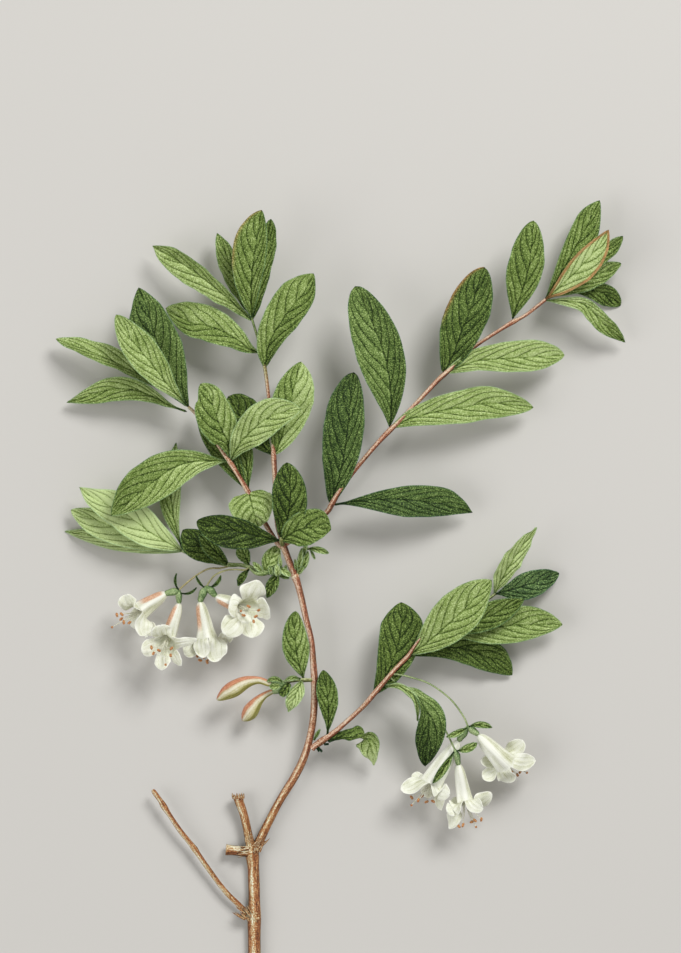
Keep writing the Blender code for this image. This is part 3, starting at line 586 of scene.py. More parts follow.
def blade_tree():
    """Leaf blades along midrib lines, each with its own width, fold, roll, veins and margins."""
    tree, given = tree_inputs("leaf_blades", "Midribs", {
        "Rows": 56, "Columns": 56, "Thickness": 0.3, "Vein depth": 0.15, "Quilting": 0.1,
        "Midrib depth": 0.34, "Wave": 0.3, "Root half width": 0.42}, "Blades")
    where = node(tree, "GeometryNodeInputPosition").outputs["Position"]
    ahead = node(tree, "GeometryNodeInputTangent").outputs["Tangent"]
    ribs = smooth_lines(tree, given["Midribs"], "COUNT", Count=given["Rows"])
    ribs = stored(tree, ribs, "u", node(tree, "GeometryNodeSplineParameter").outputs["Factor"])
    ribs = stored(tree, ribs, "rib", where, "FLOAT_VECTOR")
    ribs = stored(tree, ribs, "ahead", ahead, "FLOAT_VECTOR")
    skin = sheath(tree, ribs, given["Columns"], False)
    u, turn, rib = named(tree, "u"), named(tree, "turn"), named(tree, "rib", "FLOAT_VECTOR")
    ahead = vectors(tree, "NORMALIZE", named(tree, "ahead", "FLOAT_VECTOR"))
    left_half, right_half, fold = parts_of(tree, named(tree, "blade_size", "FLOAT_VECTOR"))
    left_widest, right_widest, wave = parts_of(tree, named(tree, "blade_form", "FLOAT_VECTOR"))
    count, length, phase = parts_of(tree, named(tree, "vein_plan", "FLOAT_VECTOR"))

    # The turn round the sheath becomes a way from one margin to the other on the upper face, and back below.
    across = (turn - 0.5).op("ABSOLUTE") * 4.0 - 1.0
    v = across.op("SIGN") * across.op("ABSOLUTE") ** 1.25
    w = v.op("ABSOLUTE")
    left = v.op("GREATER_THAN", 0.0)
    upper = 1.0 - turn.op("GREATER_THAN", 0.5) * 2.0

    # Half width: rising from the root to the widest place, falling to the tip, both ends closed.
    widest = left.mix(right_widest, left_widest)
    rising = ((u / widest).op("MINIMUM", 1.0) * (math.pi / 2)).op("SINE") ** named(tree, "root_power")
    falling = (((u - widest) / (1.0 - widest)).op("MAXIMUM", 0.0) * (math.pi / 2)).op("COSINE")
    falling = falling.op("MAXIMUM", 0.0) ** named(tree, "tip_power")
    closing = (u * 60.0).op("MINIMUM", 1.0) * ((1.0 - u) * 60.0).op("MINIMUM", 1.0)
    wobble = noise(tree, joined(tree, u * 7.0, phase * 9.0, v.op("SIGN")), 1.0, 2.0) - 0.5
    half = left.mix(right_half, left_half) * rising * falling * (wobble * 0.12 + 1.0)
    half = half.op("MAXIMUM", given["Root half width"]) * closing
    vein, midrib, _ = vein_lines(u, v, half, count, length, phase)

    # Height over the midrib line: the fold, the waved margin, the sunken veins and the quilting between.
    lift = fold * w * half * 1.35 - fold * w * w * half * 0.35
    ripple = (u * 23.0 + phase * 20.0 + v.op("SIGN")).op("SINE") + (u * 41.0 + phase * 7.0).op("SINE") * 0.6
    lift = lift + ripple * wave * given["Wave"] * w * w
    inner = w.step(1.0, 0.75)
    lift = lift - vein.bell(0.42) * given["Vein depth"] * inner - midrib.bell(0.5) * given["Midrib depth"]
    lift = lift - vein.bell(1.5) * given["Quilting"] * inner
    body = (1.0 - w ** 6.0) * given["Thickness"]
    body = (body + u.step(0.12, 0.0) * 0.5 + midrib.bell(0.45) * 0.3) * 0.5 * closing

    level = vectors(tree, "NORMALIZE", vectors(tree, "CROSS_PRODUCT", tuple(UP), ahead))
    turned = node(tree, "ShaderNodeVectorRotate", {
        "Vector": level, "Axis": ahead, "Angle": named(tree, "roll") * (math.pi / 180)},
        rotation_type="AXIS_ANGLE")
    side = turned.outputs["Vector"]
    over = vectors(tree, "CROSS_PRODUCT", ahead, side)
    spot = vectors(tree, "ADD", rib, scaled(tree, side, v * half * MM))
    spot = vectors(tree, "ADD", spot, scaled(tree, over, (lift * closing + body * upper) * MM))
    x, y, z = parts_of(tree, spot)
    above_table = joined(tree, x, y, z.op("MAXIMUM", upper * (0.15 * MM) + 0.2 * MM))
    skin = changed(tree, "SetPosition", skin, Position=above_table)
    skin = stored(tree, skin, "blade_place", joined(tree, u, v, half), "FLOAT_VECTOR")
    skin = stored(tree, skin, "upper", upper)
    for spent in ("rib", "ahead", "turn", "blade_form", "root_power", "tip_power"):
        skin = changed(tree, "RemoveAttribute", skin, Name=spent)
    finished(tree, changed(tree, "MergeByDistance", skin, Distance=0.012 * MM), given)
    return tree


BLADES = blade_tree()


def leaf(base, tip, halves, tone, via=(), bow=0.0, arch=2.5, **form):
    """One leaf from its root to its tip, its midrib through the via points or else bowed to its left.

    arch is how far it rises over the straight way in between, and form is as for blade."""
    base, tip = Vector(base), Vector(tip)
    span = tip - base
    flat = Vector((span.x, span.y, 0))
    points = [base]
    for x, y in via:
        gone = Vector((x, y, 0)) - Vector((base.x, base.y, 0))
        t = min(max(gone.dot(flat) / flat.length_squared, 0), 1)
        points.append(Vector((x, y, base.z + span.z * t + arch * 4 * t * (1 - t))))
    if not via:
        left = UP.cross(flat).normalized()
        points += [base + span * t + (left * bow + UP * arch) * (4 * t * (1 - t)) for t in (0.25, 0.5, 0.75)]
    return blade(points + [tip], halves, tone, **form)


def blade(points, halves, tone, roll=0.0, widest=0.56, ends=(1.1, 0.75), fold=0.22, wave=1.0, veins=5.4,
          cool=0.0, red=0.0, rim=0.0, fade=0.0):
    """A leaf along points of its own in all three directions.

    halves are the widths of its left and right half, widest where along it they lie, ends how slim its root
    and tip are; tone is (left, right), 0 dark to 1 pale, any difference between the two being painted light
    and shade on the fold, and fade how much paler its tip is than its root; roll lifts the left margin, in
    degrees; red colours the left margin near the tip, and rim is the width of an orange-brown band all round."""
    points = [Vector(p) for p in points]
    length = sum((b - a).length for a, b in zip(points, points[1:]))
    # The two halves' veins are offset from each other by a share that differs from leaf to leaf.
    phase = math.sin(points[0].x * 1.7 + points[-1].y * 0.9 + halves[0]) * 0.25 + 0.45
    early, late = widest if isinstance(widest, tuple) else (widest, widest)
    return [tuple(p) for p in points], {
        "blade_size": (*halves, fold), "blade_form": (early, late, wave), "vein_plan": (veins, length, phase),
        "blade_tone": (*tone, cool), "blade_paint": (red, rim, fade), "root_power": ends[0],
        "tip_power": ends[1], "roll": roll}


def leaf_skin_group():
    """How light a blade is from place to place, before its colour: painted shade along the sunken veins and
    midrib and at the root, painted light and shade on the strips between the veins, and a tone for each half,
    the two halves of the fold painted lighter and darker as light falls on them.
    """
    group, given, out = shader_group("leaf_skin", {"Vein darkness": 0.29, "Strip shading": 0.22},
                                     ["Tone", "Margin", "Height"])
    u, v, half = parts_of(group, held(group, "blade_place", True))
    count, length, phase = parts_of(group, held(group, "vein_plan", True))
    left, right, _ = parts_of(group, held(group, "blade_tone", True))
    _, _, fade = parts_of(group, held(group, "blade_paint", True))
    vein, midrib, order = vein_lines(u, v, half, count, length, phase)
    w = v.op("ABSOLUTE")
    fading = w.step(1.0, 0.7) * u.step(1.0, 0.88)
    fine = noise(group, joined(group, order * 2.0, w * 9.0, phase * 30.0), 1.0, 2.0)
    streak = noise(group, joined(group, order * 4.0, w * 1.6, phase * 50.0), 1.0, 2.0) - 0.5
    # Painted shade: dark lines along the sunken side veins and midrib, and a broader dim band round the
    # veins.
    line = vein.bell(0.22) * fading * (fine * 1.4 + 0.2)
    broad = vein.bell(0.7) * fading
    rib = midrib.bell(0.24) * u.step(1.05, 0.3).op("MAXIMUM", 0.5)
    # Painted light and shade on the quilted strips between veins: darker just past each vein, lighter before
    # the next.
    strip_shade = (order.op("FRACT") - 0.5) * fading
    # The two halves of the folded blade are painted lighter and darker, as light falls on them.
    tone = v.step(-0.03, 0.03).mix(right, left) + fade * (u - 0.5)
    tone = tone - line * given["Vein darkness"] - rib * 0.34 - broad * 0.06 + strip_shade * given["Strip shading"]
    # The last term paints shade on the root of the blade.
    tone = tone + streak * 0.08 + (midrib - 0.65).bell(0.3) * 0.08 - u.step(0.25, 0.0) * 0.1
    wire(group, out["Tone"], tone)
    wire(group, out["Margin"], (1.0 - w) * half)
    wire(group, out["Height"], broad * -0.4 - line * 0.7)
    return group


LEAF_SKIN = leaf_skin_group()


def leaf_material(name, gain):
    """Leaf green from shadow to pale, stippled, cooler at the margins, with red or orange rims where grown
    so; gain lightens or darkens it all."""
    made, tree, dots, clouds = new_material(name)
    tone, margin, height = read(tree, LEAF_SKIN, "Tone", "Margin", "Height")
    _, _, cool = parts_of(tree, held(tree, "blade_tone", True))
    red, rim, _ = parts_of(tree, held(tree, "blade_paint", True))
    u, v, _ = parts_of(tree, held(tree, "blade_place", True))
    under = held(tree, "upper").op("LESS_THAN", 0.0)
    tone = tone + (dots - 0.55) * (0.45 - tone * 0.17) + dots ** 4.0 * (0.3 - tone * 0.22)
    tone = tone + (clouds - 0.5) * 0.12 + gain + under * 0.12
    colour = ramp(tree, tone, (0.0, 28, 42, 12), (0.2, 54, 74, 26), (0.42, 92, 114, 48), (0.68, 138, 160, 86),
                  (1.0, 198, 216, 152))
    chill = (cool + margin.bell(0.32) * 0.5).op("MINIMUM", 0.8)
    cold = ramp(tree, tone, (0.0, 24, 50, 36), (0.4, 68, 112, 84), (1.0, 164, 200, 160))
    colour = blend(tree, chill, colour, cold)
    left_margin = margin + v.op("LESS_THAN", 0.0) * 9.0
    blush = red * left_margin.bell(0.9) * u.step(0.35, 0.6) * (dots * 0.6 + 0.3)
    band = margin.step(rim, rim * 0.6) * rim.op("GREATER_THAN", 0.05) * (dots * 0.4 + 0.6)
    rust = ramp(tree, dots, (0.0, 136, 82, 44), (1.0, 196, 142, 92))
    colour = blend(tree, (blush + band) * (1.0 - under), colour, rust)
    painted(tree, colour, dots * 0.12 + 0.55, height + dots * 0.15, specular=0.15)
    return made


LEAF = leaf_material("leaf_green", 0.0)


def foliage(name, solid, leaves, slot="leaf", material=LEAF, **values):
    """The leaves of a shoot, or the bracts of a stalk."""
    grown(name, leaves, BLADES, material, slot, solid, **values)


twig_top_left = [(-20.4, 12.4, 15.8, 1.0), (-21.2, 15.6, 16.6, 0.95), (-22.7, 22, 16.8, 0.9),
                 (-23.4, 37, 17, 0.9), (-23.8, 45, 17, 1.0), (-24, 47.6, 17, 0.8), (-24.6, 55, 17.2, 0.7),
                 (-25.7, 66.6, 17.4, 0.62), (-27, 76.6, 17.4, 0.68), (-28.6, 82, 17.2, 0.5),
                 (-29.5, 87, 16.8, 0.46), (-31.8, 94.8, 16, 0.42)]
greens = [0.0] * 7 + [0.1, 0.6, 0.9, 1.0, 1.0]
twig("top_left_twig", "top_left_shoot", [stem(twig_top_left, 1.0, greens)])
foliage("top_left_leaves", "top_left_shoot", [
    leaf((-31.6, 93.6, 16), (-67.7, 120.8, 9), (5.5, 4.3), (0.74, 0.64), arch=3, roll=-25,
         widest=(0.7, 0.74), ends=(0.8, 0.86),
         via=((-37.8, 99.4), (-43.2, 104), (-50.4, 109.8), (-57.6, 114.8))),
    leaf((-31.6, 94.5, 15.8), (-44.3, 125.5, 8), (4.8, 4.2), (0.62, 0.55), arch=1, roll=20,
         widest=(0.56, 0.52), ends=(1.05, 0.8)),
    leaf((-31.7, 94.6, 16.4), (-28.1, 133.2, 25), (8, 4.3), (0.53, 0.5), arch=3, widest=(0.66, 0.59),
         red=0.7, ends=(0.9, 0.67), veins=6.4, via=((-31.9, 104.8), (-31.3, 113), (-29.9, 122.5))),
    leaf((-31.5, 94, 16), (-24.8, 130.3, 15), (4.7, 3.6), (0.42, 0.45), arch=1.5, roll=18,
         widest=(0.56, 0.72), ends=(0.6, 0.66)),
    leaf((-27, 76.7, 17.4), (-9.4, 110.5, 22), (7.8, 5.8), (0.6, 0.42), arch=3, widest=(0.73, 0.62),
         ends=(0.7, 0.8), via=((-25.9, 83.9), (-23.4, 89.6), (-20.5, 94), (-16.9, 99), (-13.3, 103.3))),
    leaf((-28.4, 82.1, 17.2), (-63, 98.4, 4), (6, 7.4), (0.52, 0.7), arch=3, roll=10, widest=(0.47, 0.7),
         ends=(1.04, 0.77), via=((-32.4, 83.5), (-37.8, 87.5), (-43.2, 90.4), (-48.6, 92.2), (-54, 93.2))),
    leaf((-23.8, 45.4, 17), (-14, 79, 12), (6.9, 8), (0.54, 0.8), arch=2.5, widest=(0.5, 0.6),
         ends=(0.8, 0.7), via=((-22.3, 48.2), (-20.2, 54.4), (-17.3, 66.2), (-15.8, 72.4))),
    leaf((-23.8, 44.8, 17), (-40.3, 66.6, 7), (5, 7.6), (0.3, 0.34), bow=1, arch=1, widest=(0.56, 0.66),
         ends=(1.1, 0.55)),
])


# Left leafy shoot: a twig that leaves the top fork leftwards, with leaf pairs, a tip of four narrow
# leaves and one heart-shaped leaf bent over at its root. Same twig wood and blades as above.
twig_left = [(-20.8, 12.4, 15.4, 0.9), (-22.5, 13.6, 15, 0.85), (-26.9, 20.7, 14.9, 0.9),
             (-30.6, 27.4, 14.9, 0.88), (-33.1, 32.2, 14.9, 1.0), (-36, 37.1, 14.9, 0.8),
             (-39.4, 42.6, 15, 0.95), (-43.2, 47.9, 14.6, 0.66), (-48.6, 56.3, 13.6, 0.62),
             (-51.8, 60.1, 13, 0.6), (-54.6, 62.7, 12.4, 0.55)]
twig("left_twig", "left_shoot", [stem(twig_left, 1.0, [0.0] * 7 + [0.05, 0.1, 0.2, 0.5])])
foliage("left_leaves", "left_shoot", [
    leaf((-54.6, 62.9, 12.4), (-102.6, 87.3, 7), (3.6, 5.1), (0.6, 0.72), bow=-2.2, arch=3, roll=35,
         widest=(0.7, 0.6), ends=(1.3, 0.66)),
    leaf((-54.6, 62.6, 12.6), (-80.5, 95.8, 19), (6, 6), (0.75, 0.69), arch=2.5, roll=6,
         widest=(0.58, 0.63), ends=(1.4, 0.68), veins=6.4,
         via=((-61.9, 70.6), (-66.6, 76.7), (-71.3, 82.4), (-75.6, 87.8))),
    leaf((-54.4, 62.6, 12.2), (-72.5, 105.7, 13), (8.6, 8.3), (0.3, 0.42), arch=0.5, veins=6.4, cool=0.1,
         widest=(0.66, 0.5), ends=(0.9, 0.82),
         via=((-59, 69.5), (-62.3, 76.7), (-64.8, 83.2), (-67.3, 90.4), (-69.1, 97.6))),
    leaf((-55, 60.9, 12), (-98.8, 64.3, 4), (4.5, 4.3), (0.6, 0.7), arch=2, widest=(0.6, 0.58),
         ends=(1.6, 1.0), via=((-61.9, 63.5), (-67.7, 66.6), (-74.4, 68.9), (-82.1, 69.2), (-88.8, 67.3))),
    leaf((-39.4, 43.2, 15), (-50.2, 70.9, 20), (7.3, 6.4), (0.5, 0.69), arch=2, widest=(0.57, 0.51),
         ends=(1.3, 0.62), via=((-40.3, 50), (-42.1, 53.6), (-43.9, 58), (-45.4, 62.3), (-46.8, 67))),
    leaf((-39.4, 43.2, 15.2), (-13.9, 61.7, 27), (6.8, 6.3), (0.84, 0.8), arch=3, widest=(0.62, 0.58),
         veins=6.4, ends=(1.0, 0.75),
         via=((-37.4, 47.2), (-34.9, 50.8), (-31.7, 54), (-28.1, 57.2), (-24.8, 59.2), (-19.8, 60.8))),
    leaf((-33.1, 32, 14.8), (-51.1, 63.4, 7), (4.2, 5.6), (0.42, 0.36), bow=1, arch=0.5,
         widest=(0.62, 0.5)),
    leaf((-39.8, 43.2, 15), (-82.4, 23.4, 18), (7.4, 8.3), (0.7, 0.56), arch=4, widest=(0.5, 0.66),
         fade=-0.22, ends=(1.36, 0.85), veins=7,
         via=((-50.4, 43.2), (-56.5, 42.1), (-61.2, 40), (-66.6, 36), (-72, 31.7), (-77.4, 27.4))),
    leaf((-33, 32.2, 14.8), (-37.4, 58, 9), (4.2, 3.1), (0.6, 0.55), bow=-1, arch=0, ends=(1.4, 0.78)),
    leaf((-32.8, 31.8, 15.2), (-29.5, 19.1, 19), (8, 8.4), (0.78, 0.74), arch=4, widest=0.33, fold=0.05,
         ends=(0.42, 0.6), veins=5),
])


# Lower left spur: a thin green twig with four long leaves at its end, two dark leaves at its middle
# and a tuft of small young leaves and scales next to the stem.
twig_spur = [(-16.6, 2.4, 14.7, 0.9), (-18.5, 2.5, 14.6, 0.8), (-25.2, 2.9, 14.4, 0.75),
             (-29.5, 3.6, 14, 0.75), (-32.4, 5, 13.6, 0.85), (-36, 5.8, 13, 0.7), (-40, 5.9, 12.4, 0.85),
             (-48.6, 7.6, 10.8, 0.6), (-57, 10.9, 9.2, 0.6)]
leaf_sheath = [(-32.4, 4.7, 14.2, 0.5), (-30.2, 3, 14.9, 0.8), (-27.4, 2.7, 15.2, 0.85),
               (-24.5, 4, 15.4, 0.7), (-23.2, 5.2, 15.6, 0.25)]
twig("spur_twig", "flower_spur", [stem(twig_spur, 1.0, [0.4] + [0.9] * 8), stem(leaf_sheath, 1.0, 1.0)],
     bark_depth=0.2)
foliage("spur_leaves", "flower_spur", [
    leaf((-56.6, 10.8, 9.4), (-94, 33.8, 10), (6.6, 7), (0.96, 1.04), arch=3, widest=(0.5, 0.55),
         ends=(0.9, 0.9), via=((-63.7, 14.8), (-68.4, 17.6), (-73.8, 21.6), (-78.1, 24.8), (-88.2, 29.5))),
    leaf((-56.6, 10.7, 9.2), (-97.2, 25.6, 5), (6, 5.8), (0.92, 0.84), bow=0.5, arch=1.5,
         widest=(0.65, 0.5), ends=(0.9, 0.68)),
    leaf((-56.4, 10.6, 9), (-99.7, 17.8, 0.4), (3.7, 4), (0.98, 0.84), arch=1, widest=0.53,
         ends=(0.74, 0.9)),
    leaf((-56.6, 10.8, 9), (-59.2, 50, 2), (4.3, 3.7), (0.66, 0.84), bow=3, arch=-1, widest=(0.48, 0.62),
         ends=(1.7, 0.9)),
    leaf((-40.3, 5.8, 12.4), (-56.7, 18.4, 12.5), (6.2, 4.4), (0.28, 0.22), arch=2, widest=(0.66, 0.59),
         veins=5),
    leaf((-40.1, 5.8, 12.6), (-50.8, 16.9, 17), (3.2, 2.2), (0.42, 0.36), arch=2, veins=5,
         ends=(0.8, 0.78)),
    leaf((-32.4, 5, 13.7), (-36, 13, 17), (2.7, 2.3), (0.55, 0.5), arch=1, veins=4, widest=0.72,
         ends=(1.4, 0.65)),
    leaf((-32.6, 4.6, 13.5), (-36.7, -1.8, 12), (1.0, 1.9), (0.5, 0.45), arch=1, veins=4),
    leaf((-27.4, 3.4, 14.2), (-22.2, 12.8, 13), (3.1, 3.2), (0.72, 0.8), arch=0.6, veins=4, widest=0.46,
         ends=(0.8, 0.68)),
    leaf((-22.3, 2.8, 14.5), (-26.3, -6.1, 12), (2.1, 2.4), (0.5, 0.42), arch=1, veins=4, widest=0.46,
         ends=(0.7, 0.8)),
])


def tiny_leaves(rows, ends):
    """Scales and young leaves, from rows of (root, tip, width, tone, arch, bow)."""
    return [leaf(base, tip, (width / 2, width / 2), (tone, tone + 0.1), arch=arch, bow=bow, veins=3,
                 widest=0.5, ends=ends, wave=0.6, fold=0.4) for base, tip, width, tone, arch, bow in rows]


foliage("spur_scales", "flower_spur", tiny_leaves((
    ((-28, 3.4, 14.6), (-31.4, 6.9, 16.6), 2.2, 0.91, 0.6, 0),
    ((-24.4, 2, 15), (-25.4, 5.6, 16.4), 1.7, 0.85, 0.6, 0),
    ((-25.8, 2.2, 14.8), (-22.6, 5.2, 16), 1.8, 0.75, 0.5, 0),
    ((-22.3, 1.7, 15), (-22.7, 6, 16.8), 2.5, 0.97, 0.9, 0),
    ((-21.8, 4.8, 15.6), (-17.6, 1.8, 16.8), 2.4, 0.87, 0.9, 0),
    ((-21.2, 4.6, 15.4), (-21.8, 9.2, 15.6), 1.5, 0.99, 0.3, 0),
    ((-22.5, 2.6, 14.4), (-18.2, 1, 14.6), 1.9, 0.55, -0.2, 0),
    ((-19.8, 2.2, 14.8), (-19.4, 5.8, 16.2), 1.5, 0.81, 0.5, 0),
), ends=(0.6, 0.5)), rows=26, columns=28, root_half_width=0.3)


# Crown leaves: three broad old leaves at the top fork, the darkest and thickest of the branch.
# They stand on one swollen bud base and arch over the forking twigs.
DARK_LEAF = leaf_material("old_leaf_green", -0.04)
foliage("crown_blades", "crown_leaves", [
    leaf((-21.1, 14.6, 18.8), (-51.5, 21.4, 25), (6.7, 5), (0.19, 0.23), bow=0.2, arch=4.5, widest=0.63,
         ends=(1.25, 0.65)),
    leaf((-21.1, 15, 18.8), (-19.1, 42.7, 25), (6.6, 6.2), (0.26, 0.34), bow=-2.2, arch=2.5, veins=5,
         widest=(0.62, 0.5), ends=(0.8, 0.62)),
    leaf((-21.1, 14.6, 18.8), (-3.2, 18.4, 21), (6.7, 6.4), (0.56, 0.52), bow=2.6, arch=3.5, veins=5,
         widest=(0.69, 0.5), ends=(0.85, 0.8)),
], slot="dark_leaf", material=DARK_LEAF)
knob = [(-20.6, 12.8, 15.6, 0.9), (-20.8, 13.6, 17.4, 0.8), (-21.1, 14.6, 18.7, 0.95),
        (-21.3, 15.8, 19, 0.4)]
twig("crown_knob", "crown_leaves", [stem(knob, 0.3, 0.8)], bark_depth=0.2, step=0.7 * MM, slot="dark_leaf")


# Right leafy shoot: the longest twig, red-brown, with leaf pairs at its nodes and six leaves at its tip,
# one of them pale with an orange-brown rim and one that droops.
twig_right = [(-19.8, 13.2, 15.3, 1.0), (-12, 18.9, 15.2, 0.92), (-4.9, 24.6, 15.4, 0.95),
              (-3, 27.6, 15.5, 1.05), (-0.2, 32.2, 15.5, 0.86), (4.9, 39.4, 15.6, 0.84),
              (12.9, 48.9, 15.8, 0.84), (17.6, 53.9, 15.9, 0.98), (21.9, 58.2, 16.1, 0.8),
              (28.6, 65.2, 16.2, 0.76), (35.6, 72.6, 16.3, 0.9), (38.2, 74.9, 16.3, 0.92),
              (46.3, 82.3, 16, 0.7), (49.6, 85.2, 15.8, 0.68), (57, 90, 15.3, 0.66), (62.6, 93.4, 15, 0.88),
              (64.6, 94.4, 14.9, 0.62), (67.7, 96.3, 14.6, 0.6), (74, 101.3, 14.2, 0.6)]
twig("right_twig", "right_shoot", [stem(twig_right, 1.0)], sides=16, bark_depth=0.16)
foliage("right_leaves", "right_shoot", [
    leaf((-3.2, 27.2, 14.4), (5, 75.1, 18), (8.8, 5.9), (0.24, 0.32), arch=2, veins=6.4, cool=0.12,
         widest=0.58, ends=(0.75, 0.55),
         via=((-2.2, 31), (0, 38.2), (1.8, 47.2), (2.9, 56.2), (3.6, 63.4))),
    leaf((-2.6, 27.4, 15.4), (47.9, 24.6, 6), (6.1, 6.2), (0.34, 0.22), bow=3.4, arch=4,
         widest=(0.74, 0.51), ends=(1.56, 1.0), cool=0.15, veins=6.4),
    leaf((17.8, 55.2, 16), (5.4, 106, 20), (9.9, 7.3), (0.46, 0.34), arch=3, veins=7, cool=0.08,
         widest=(0.53, 0.56), ends=(1.0, 0.55),
         via=((18.4, 61.6), (18, 70.6), (16.6, 78.8), (14.4, 86), (11.5, 93.2), (8.3, 100.1))),
    leaf((18.2, 55.2, 16), (69.8, 62.5, 8), (6.3, 6), (0.74, 0.68), arch=3, veins=6.4, widest=0.59,
         ends=(0.75, 0.71), via=((27, 59), (37.8, 61.6), (45, 62.6), (54, 64.1))),
    leaf((37.2, 74.8, 15.2), (51.8, 112.9, 19.5), (8.3, 7.4), (0.36, 0.3), arch=1.6, veins=6.4, red=1.0,
         cool=0.04, widest=(0.56, 0.6), ends=(0.65, 0.6),
         via=((38.9, 77.8), (41.4, 83.2), (43.9, 90.4), (46.8, 97.6), (49.7, 106.6))),
    leaf((37.4, 74.8, 16.3), (81, 81.4, 9), (6.3, 5.2), (0.8, 0.74), arch=3, veins=6.4, widest=(0.69, 0.68),
         ends=(0.7, 0.69), via=((46.8, 78.5), (52.2, 79.6), (68.4, 80.6))),
    leaf((62, 94.2, 15), (69.5, 129.6, 19), (7.6, 5.3), (0.46, 0.5), arch=3, widest=(0.52, 0.55),
         ends=(1.08, 0.6), via=((64.1, 100.1), (66.2, 106.6), (68, 113.8), (68.8, 121))),
    leaf((73.8, 101.3, 14.2), (93.6, 137.2, 10), (4.9, 6.1), (0.53, 0.46), bow=-0.5, arch=0.5,
         widest=(0.76, 0.55), ends=(0.97, 0.83)),
    leaf((73.8, 101.3, 14.4), (96.4, 126.2, 23), (4.2, 5.6), (0.9, 0.84), arch=2, rim=1.25,
         widest=(0.6, 0.56), ends=(1.1, 0.8), via=((79, 105.7), (87.2, 113.8), (92.5, 119.9))),
    leaf((73.8, 101.3, 14.2), (101.9, 124.2, 13), (3.4, 3.6), (0.6, 0.5), arch=0, roll=20,
         widest=(0.55, 0.75), ends=(1.1, 0.64)),
    leaf((73.8, 101.3, 14), (101.5, 114.5, 7), (4.2, 3.9), (0.64, 0.56), arch=1, roll=15, widest=0.58,
         ends=(1.5, 0.65)),
    leaf((73.8, 101.3, 13.9), (101.5, 99.4, 0.4), (3.8, 4), (0.42, 0.34), arch=1, roll=12,
         widest=(0.74, 0.8), ends=(2, 0.7), via=((86.4, 105.5), (96.1, 103.3))),
    leaf((73.6, 101.1, 14.2), (103, 86, 5), (3.1, 3.4), (0.74, 0.7), arch=3, fade=-0.5, widest=(0.72, 0.6),
         ends=(0.95, 0.95), via=((86.4, 100.1), (91.8, 96.1), (95.4, 92.2))),
])


# Small right spur: a short green twig just under the top fork, with overlapping tiny leaves
# that are scarcely longer than the stem is thick.
spur_line = [(-15.8, 2.6, 14.8, 0.9), (-14.5, 3.6, 14.9, 0.8), (-13.6, 7.4, 15, 0.7),
             (-12.6, 11, 15.2, 0.6), (-11, 11.7, 15.4, 0.4)]
twig("small_spur_twig", "right_spur", [stem(spur_line, 0.6, 0.9)], sides=12, bark_depth=0.25, step=0.7 * MM)
foliage("small_spur_leaves", "right_spur", tiny_leaves((
    ((-15.1, 3.2, 15), (-13.7, 11.9, 17), 2.1, 0.8, 0.6, 0),
    ((-14, 3.2, 14.8), (-11.5, 10.9, 16.4), 2.4, 0.7, 0.6, -0.3),
    ((-15.5, 3.2, 15.2), (-16.2, 7.9, 16.6), 1.4, 0.94, 0.3, 0),
    ((-15.5, 2.2, 15.2), (-12.9, 5.4, 16.6), 1.8, 0.86, 0.5, 0),
    ((-13.3, 9.8, 15.2), (-11.9, 13.6, 17), 1.8, 0.96, 0.3, 0),
    ((-11.6, 11.6, 15.4), (-4, 9.9, 14), 2.4, 0.7, 0.8, 0.5),
    ((-10.6, 11.3, 15.4), (-9, 7.8, 14.4), 1.2, 0.92, 0.3, 0),
), ends=(0.8, 0.6)), rows=30, columns=32)


# Bud spur: a short twig on the main stem with an upright leaf, a hanging one, bracts and the two
# green ovaries that carry the closed buds.
bud_line = [(-9.8, -35.6, 11, 0.9), (-11.2, -35.7, 11.4, 0.7), (-13, -35.7, 11.8, 0.8),
            (-15.1, -35.7, 12, 0.62), (-18, -36.2, 12.2, 0.52), (-20.4, -37, 12.4, 0.5)]
twig("bud_spur_twig", "bud_spur", [stem(bud_line, 0.8, 0.8)], sides=12, bark_depth=0.2, step=0.7 * MM)
foliage("bud_spur_leaves", "bud_spur", [
    leaf((-13, -35.5, 11.7), (-16, -10.8, 12.6), (4.9, 4.8), (0.5, 0.6), bow=1.4, arch=0.8, fold=0.1,
         widest=(0.49, 0.46), ends=(1.2, 0.6), veins=5),
    leaf((-13.6, -35.5, 12.5), (-18.7, -47.2, 11), (2.9, 2.9), (1.0, 0.94), arch=1.5, veins=5,
         widest=(0.4, 0.53), ends=(1.0, 0.9)),
    leaf((-14.2, -35.3, 12.4), (-20, -36, 14.4), (1.0, 0.9), (0.84, 0.8), bow=-0.8, arch=1, veins=3),
    leaf((-20.6, -36.6, 14), (-26.2, -36, 15), (1.1, 1.0), (0.8, 0.75), bow=-1.1, arch=0.8, veins=3,
         ends=(0.7, 0.6)),
    leaf((-21.2, -37.6, 14.2), (-25.4, -38, 14.4), (1.4, 1.3), (0.9, 0.86), arch=0.6, veins=3,
         ends=(0.5, 0.5)),
    leaf((-18.2, -36.6, 13.4), (-21.4, -41.4, 13), (1.9, 1.8), (0.56, 0.46), arch=0.8, veins=3,
         ends=(0.5, 0.45)),
])


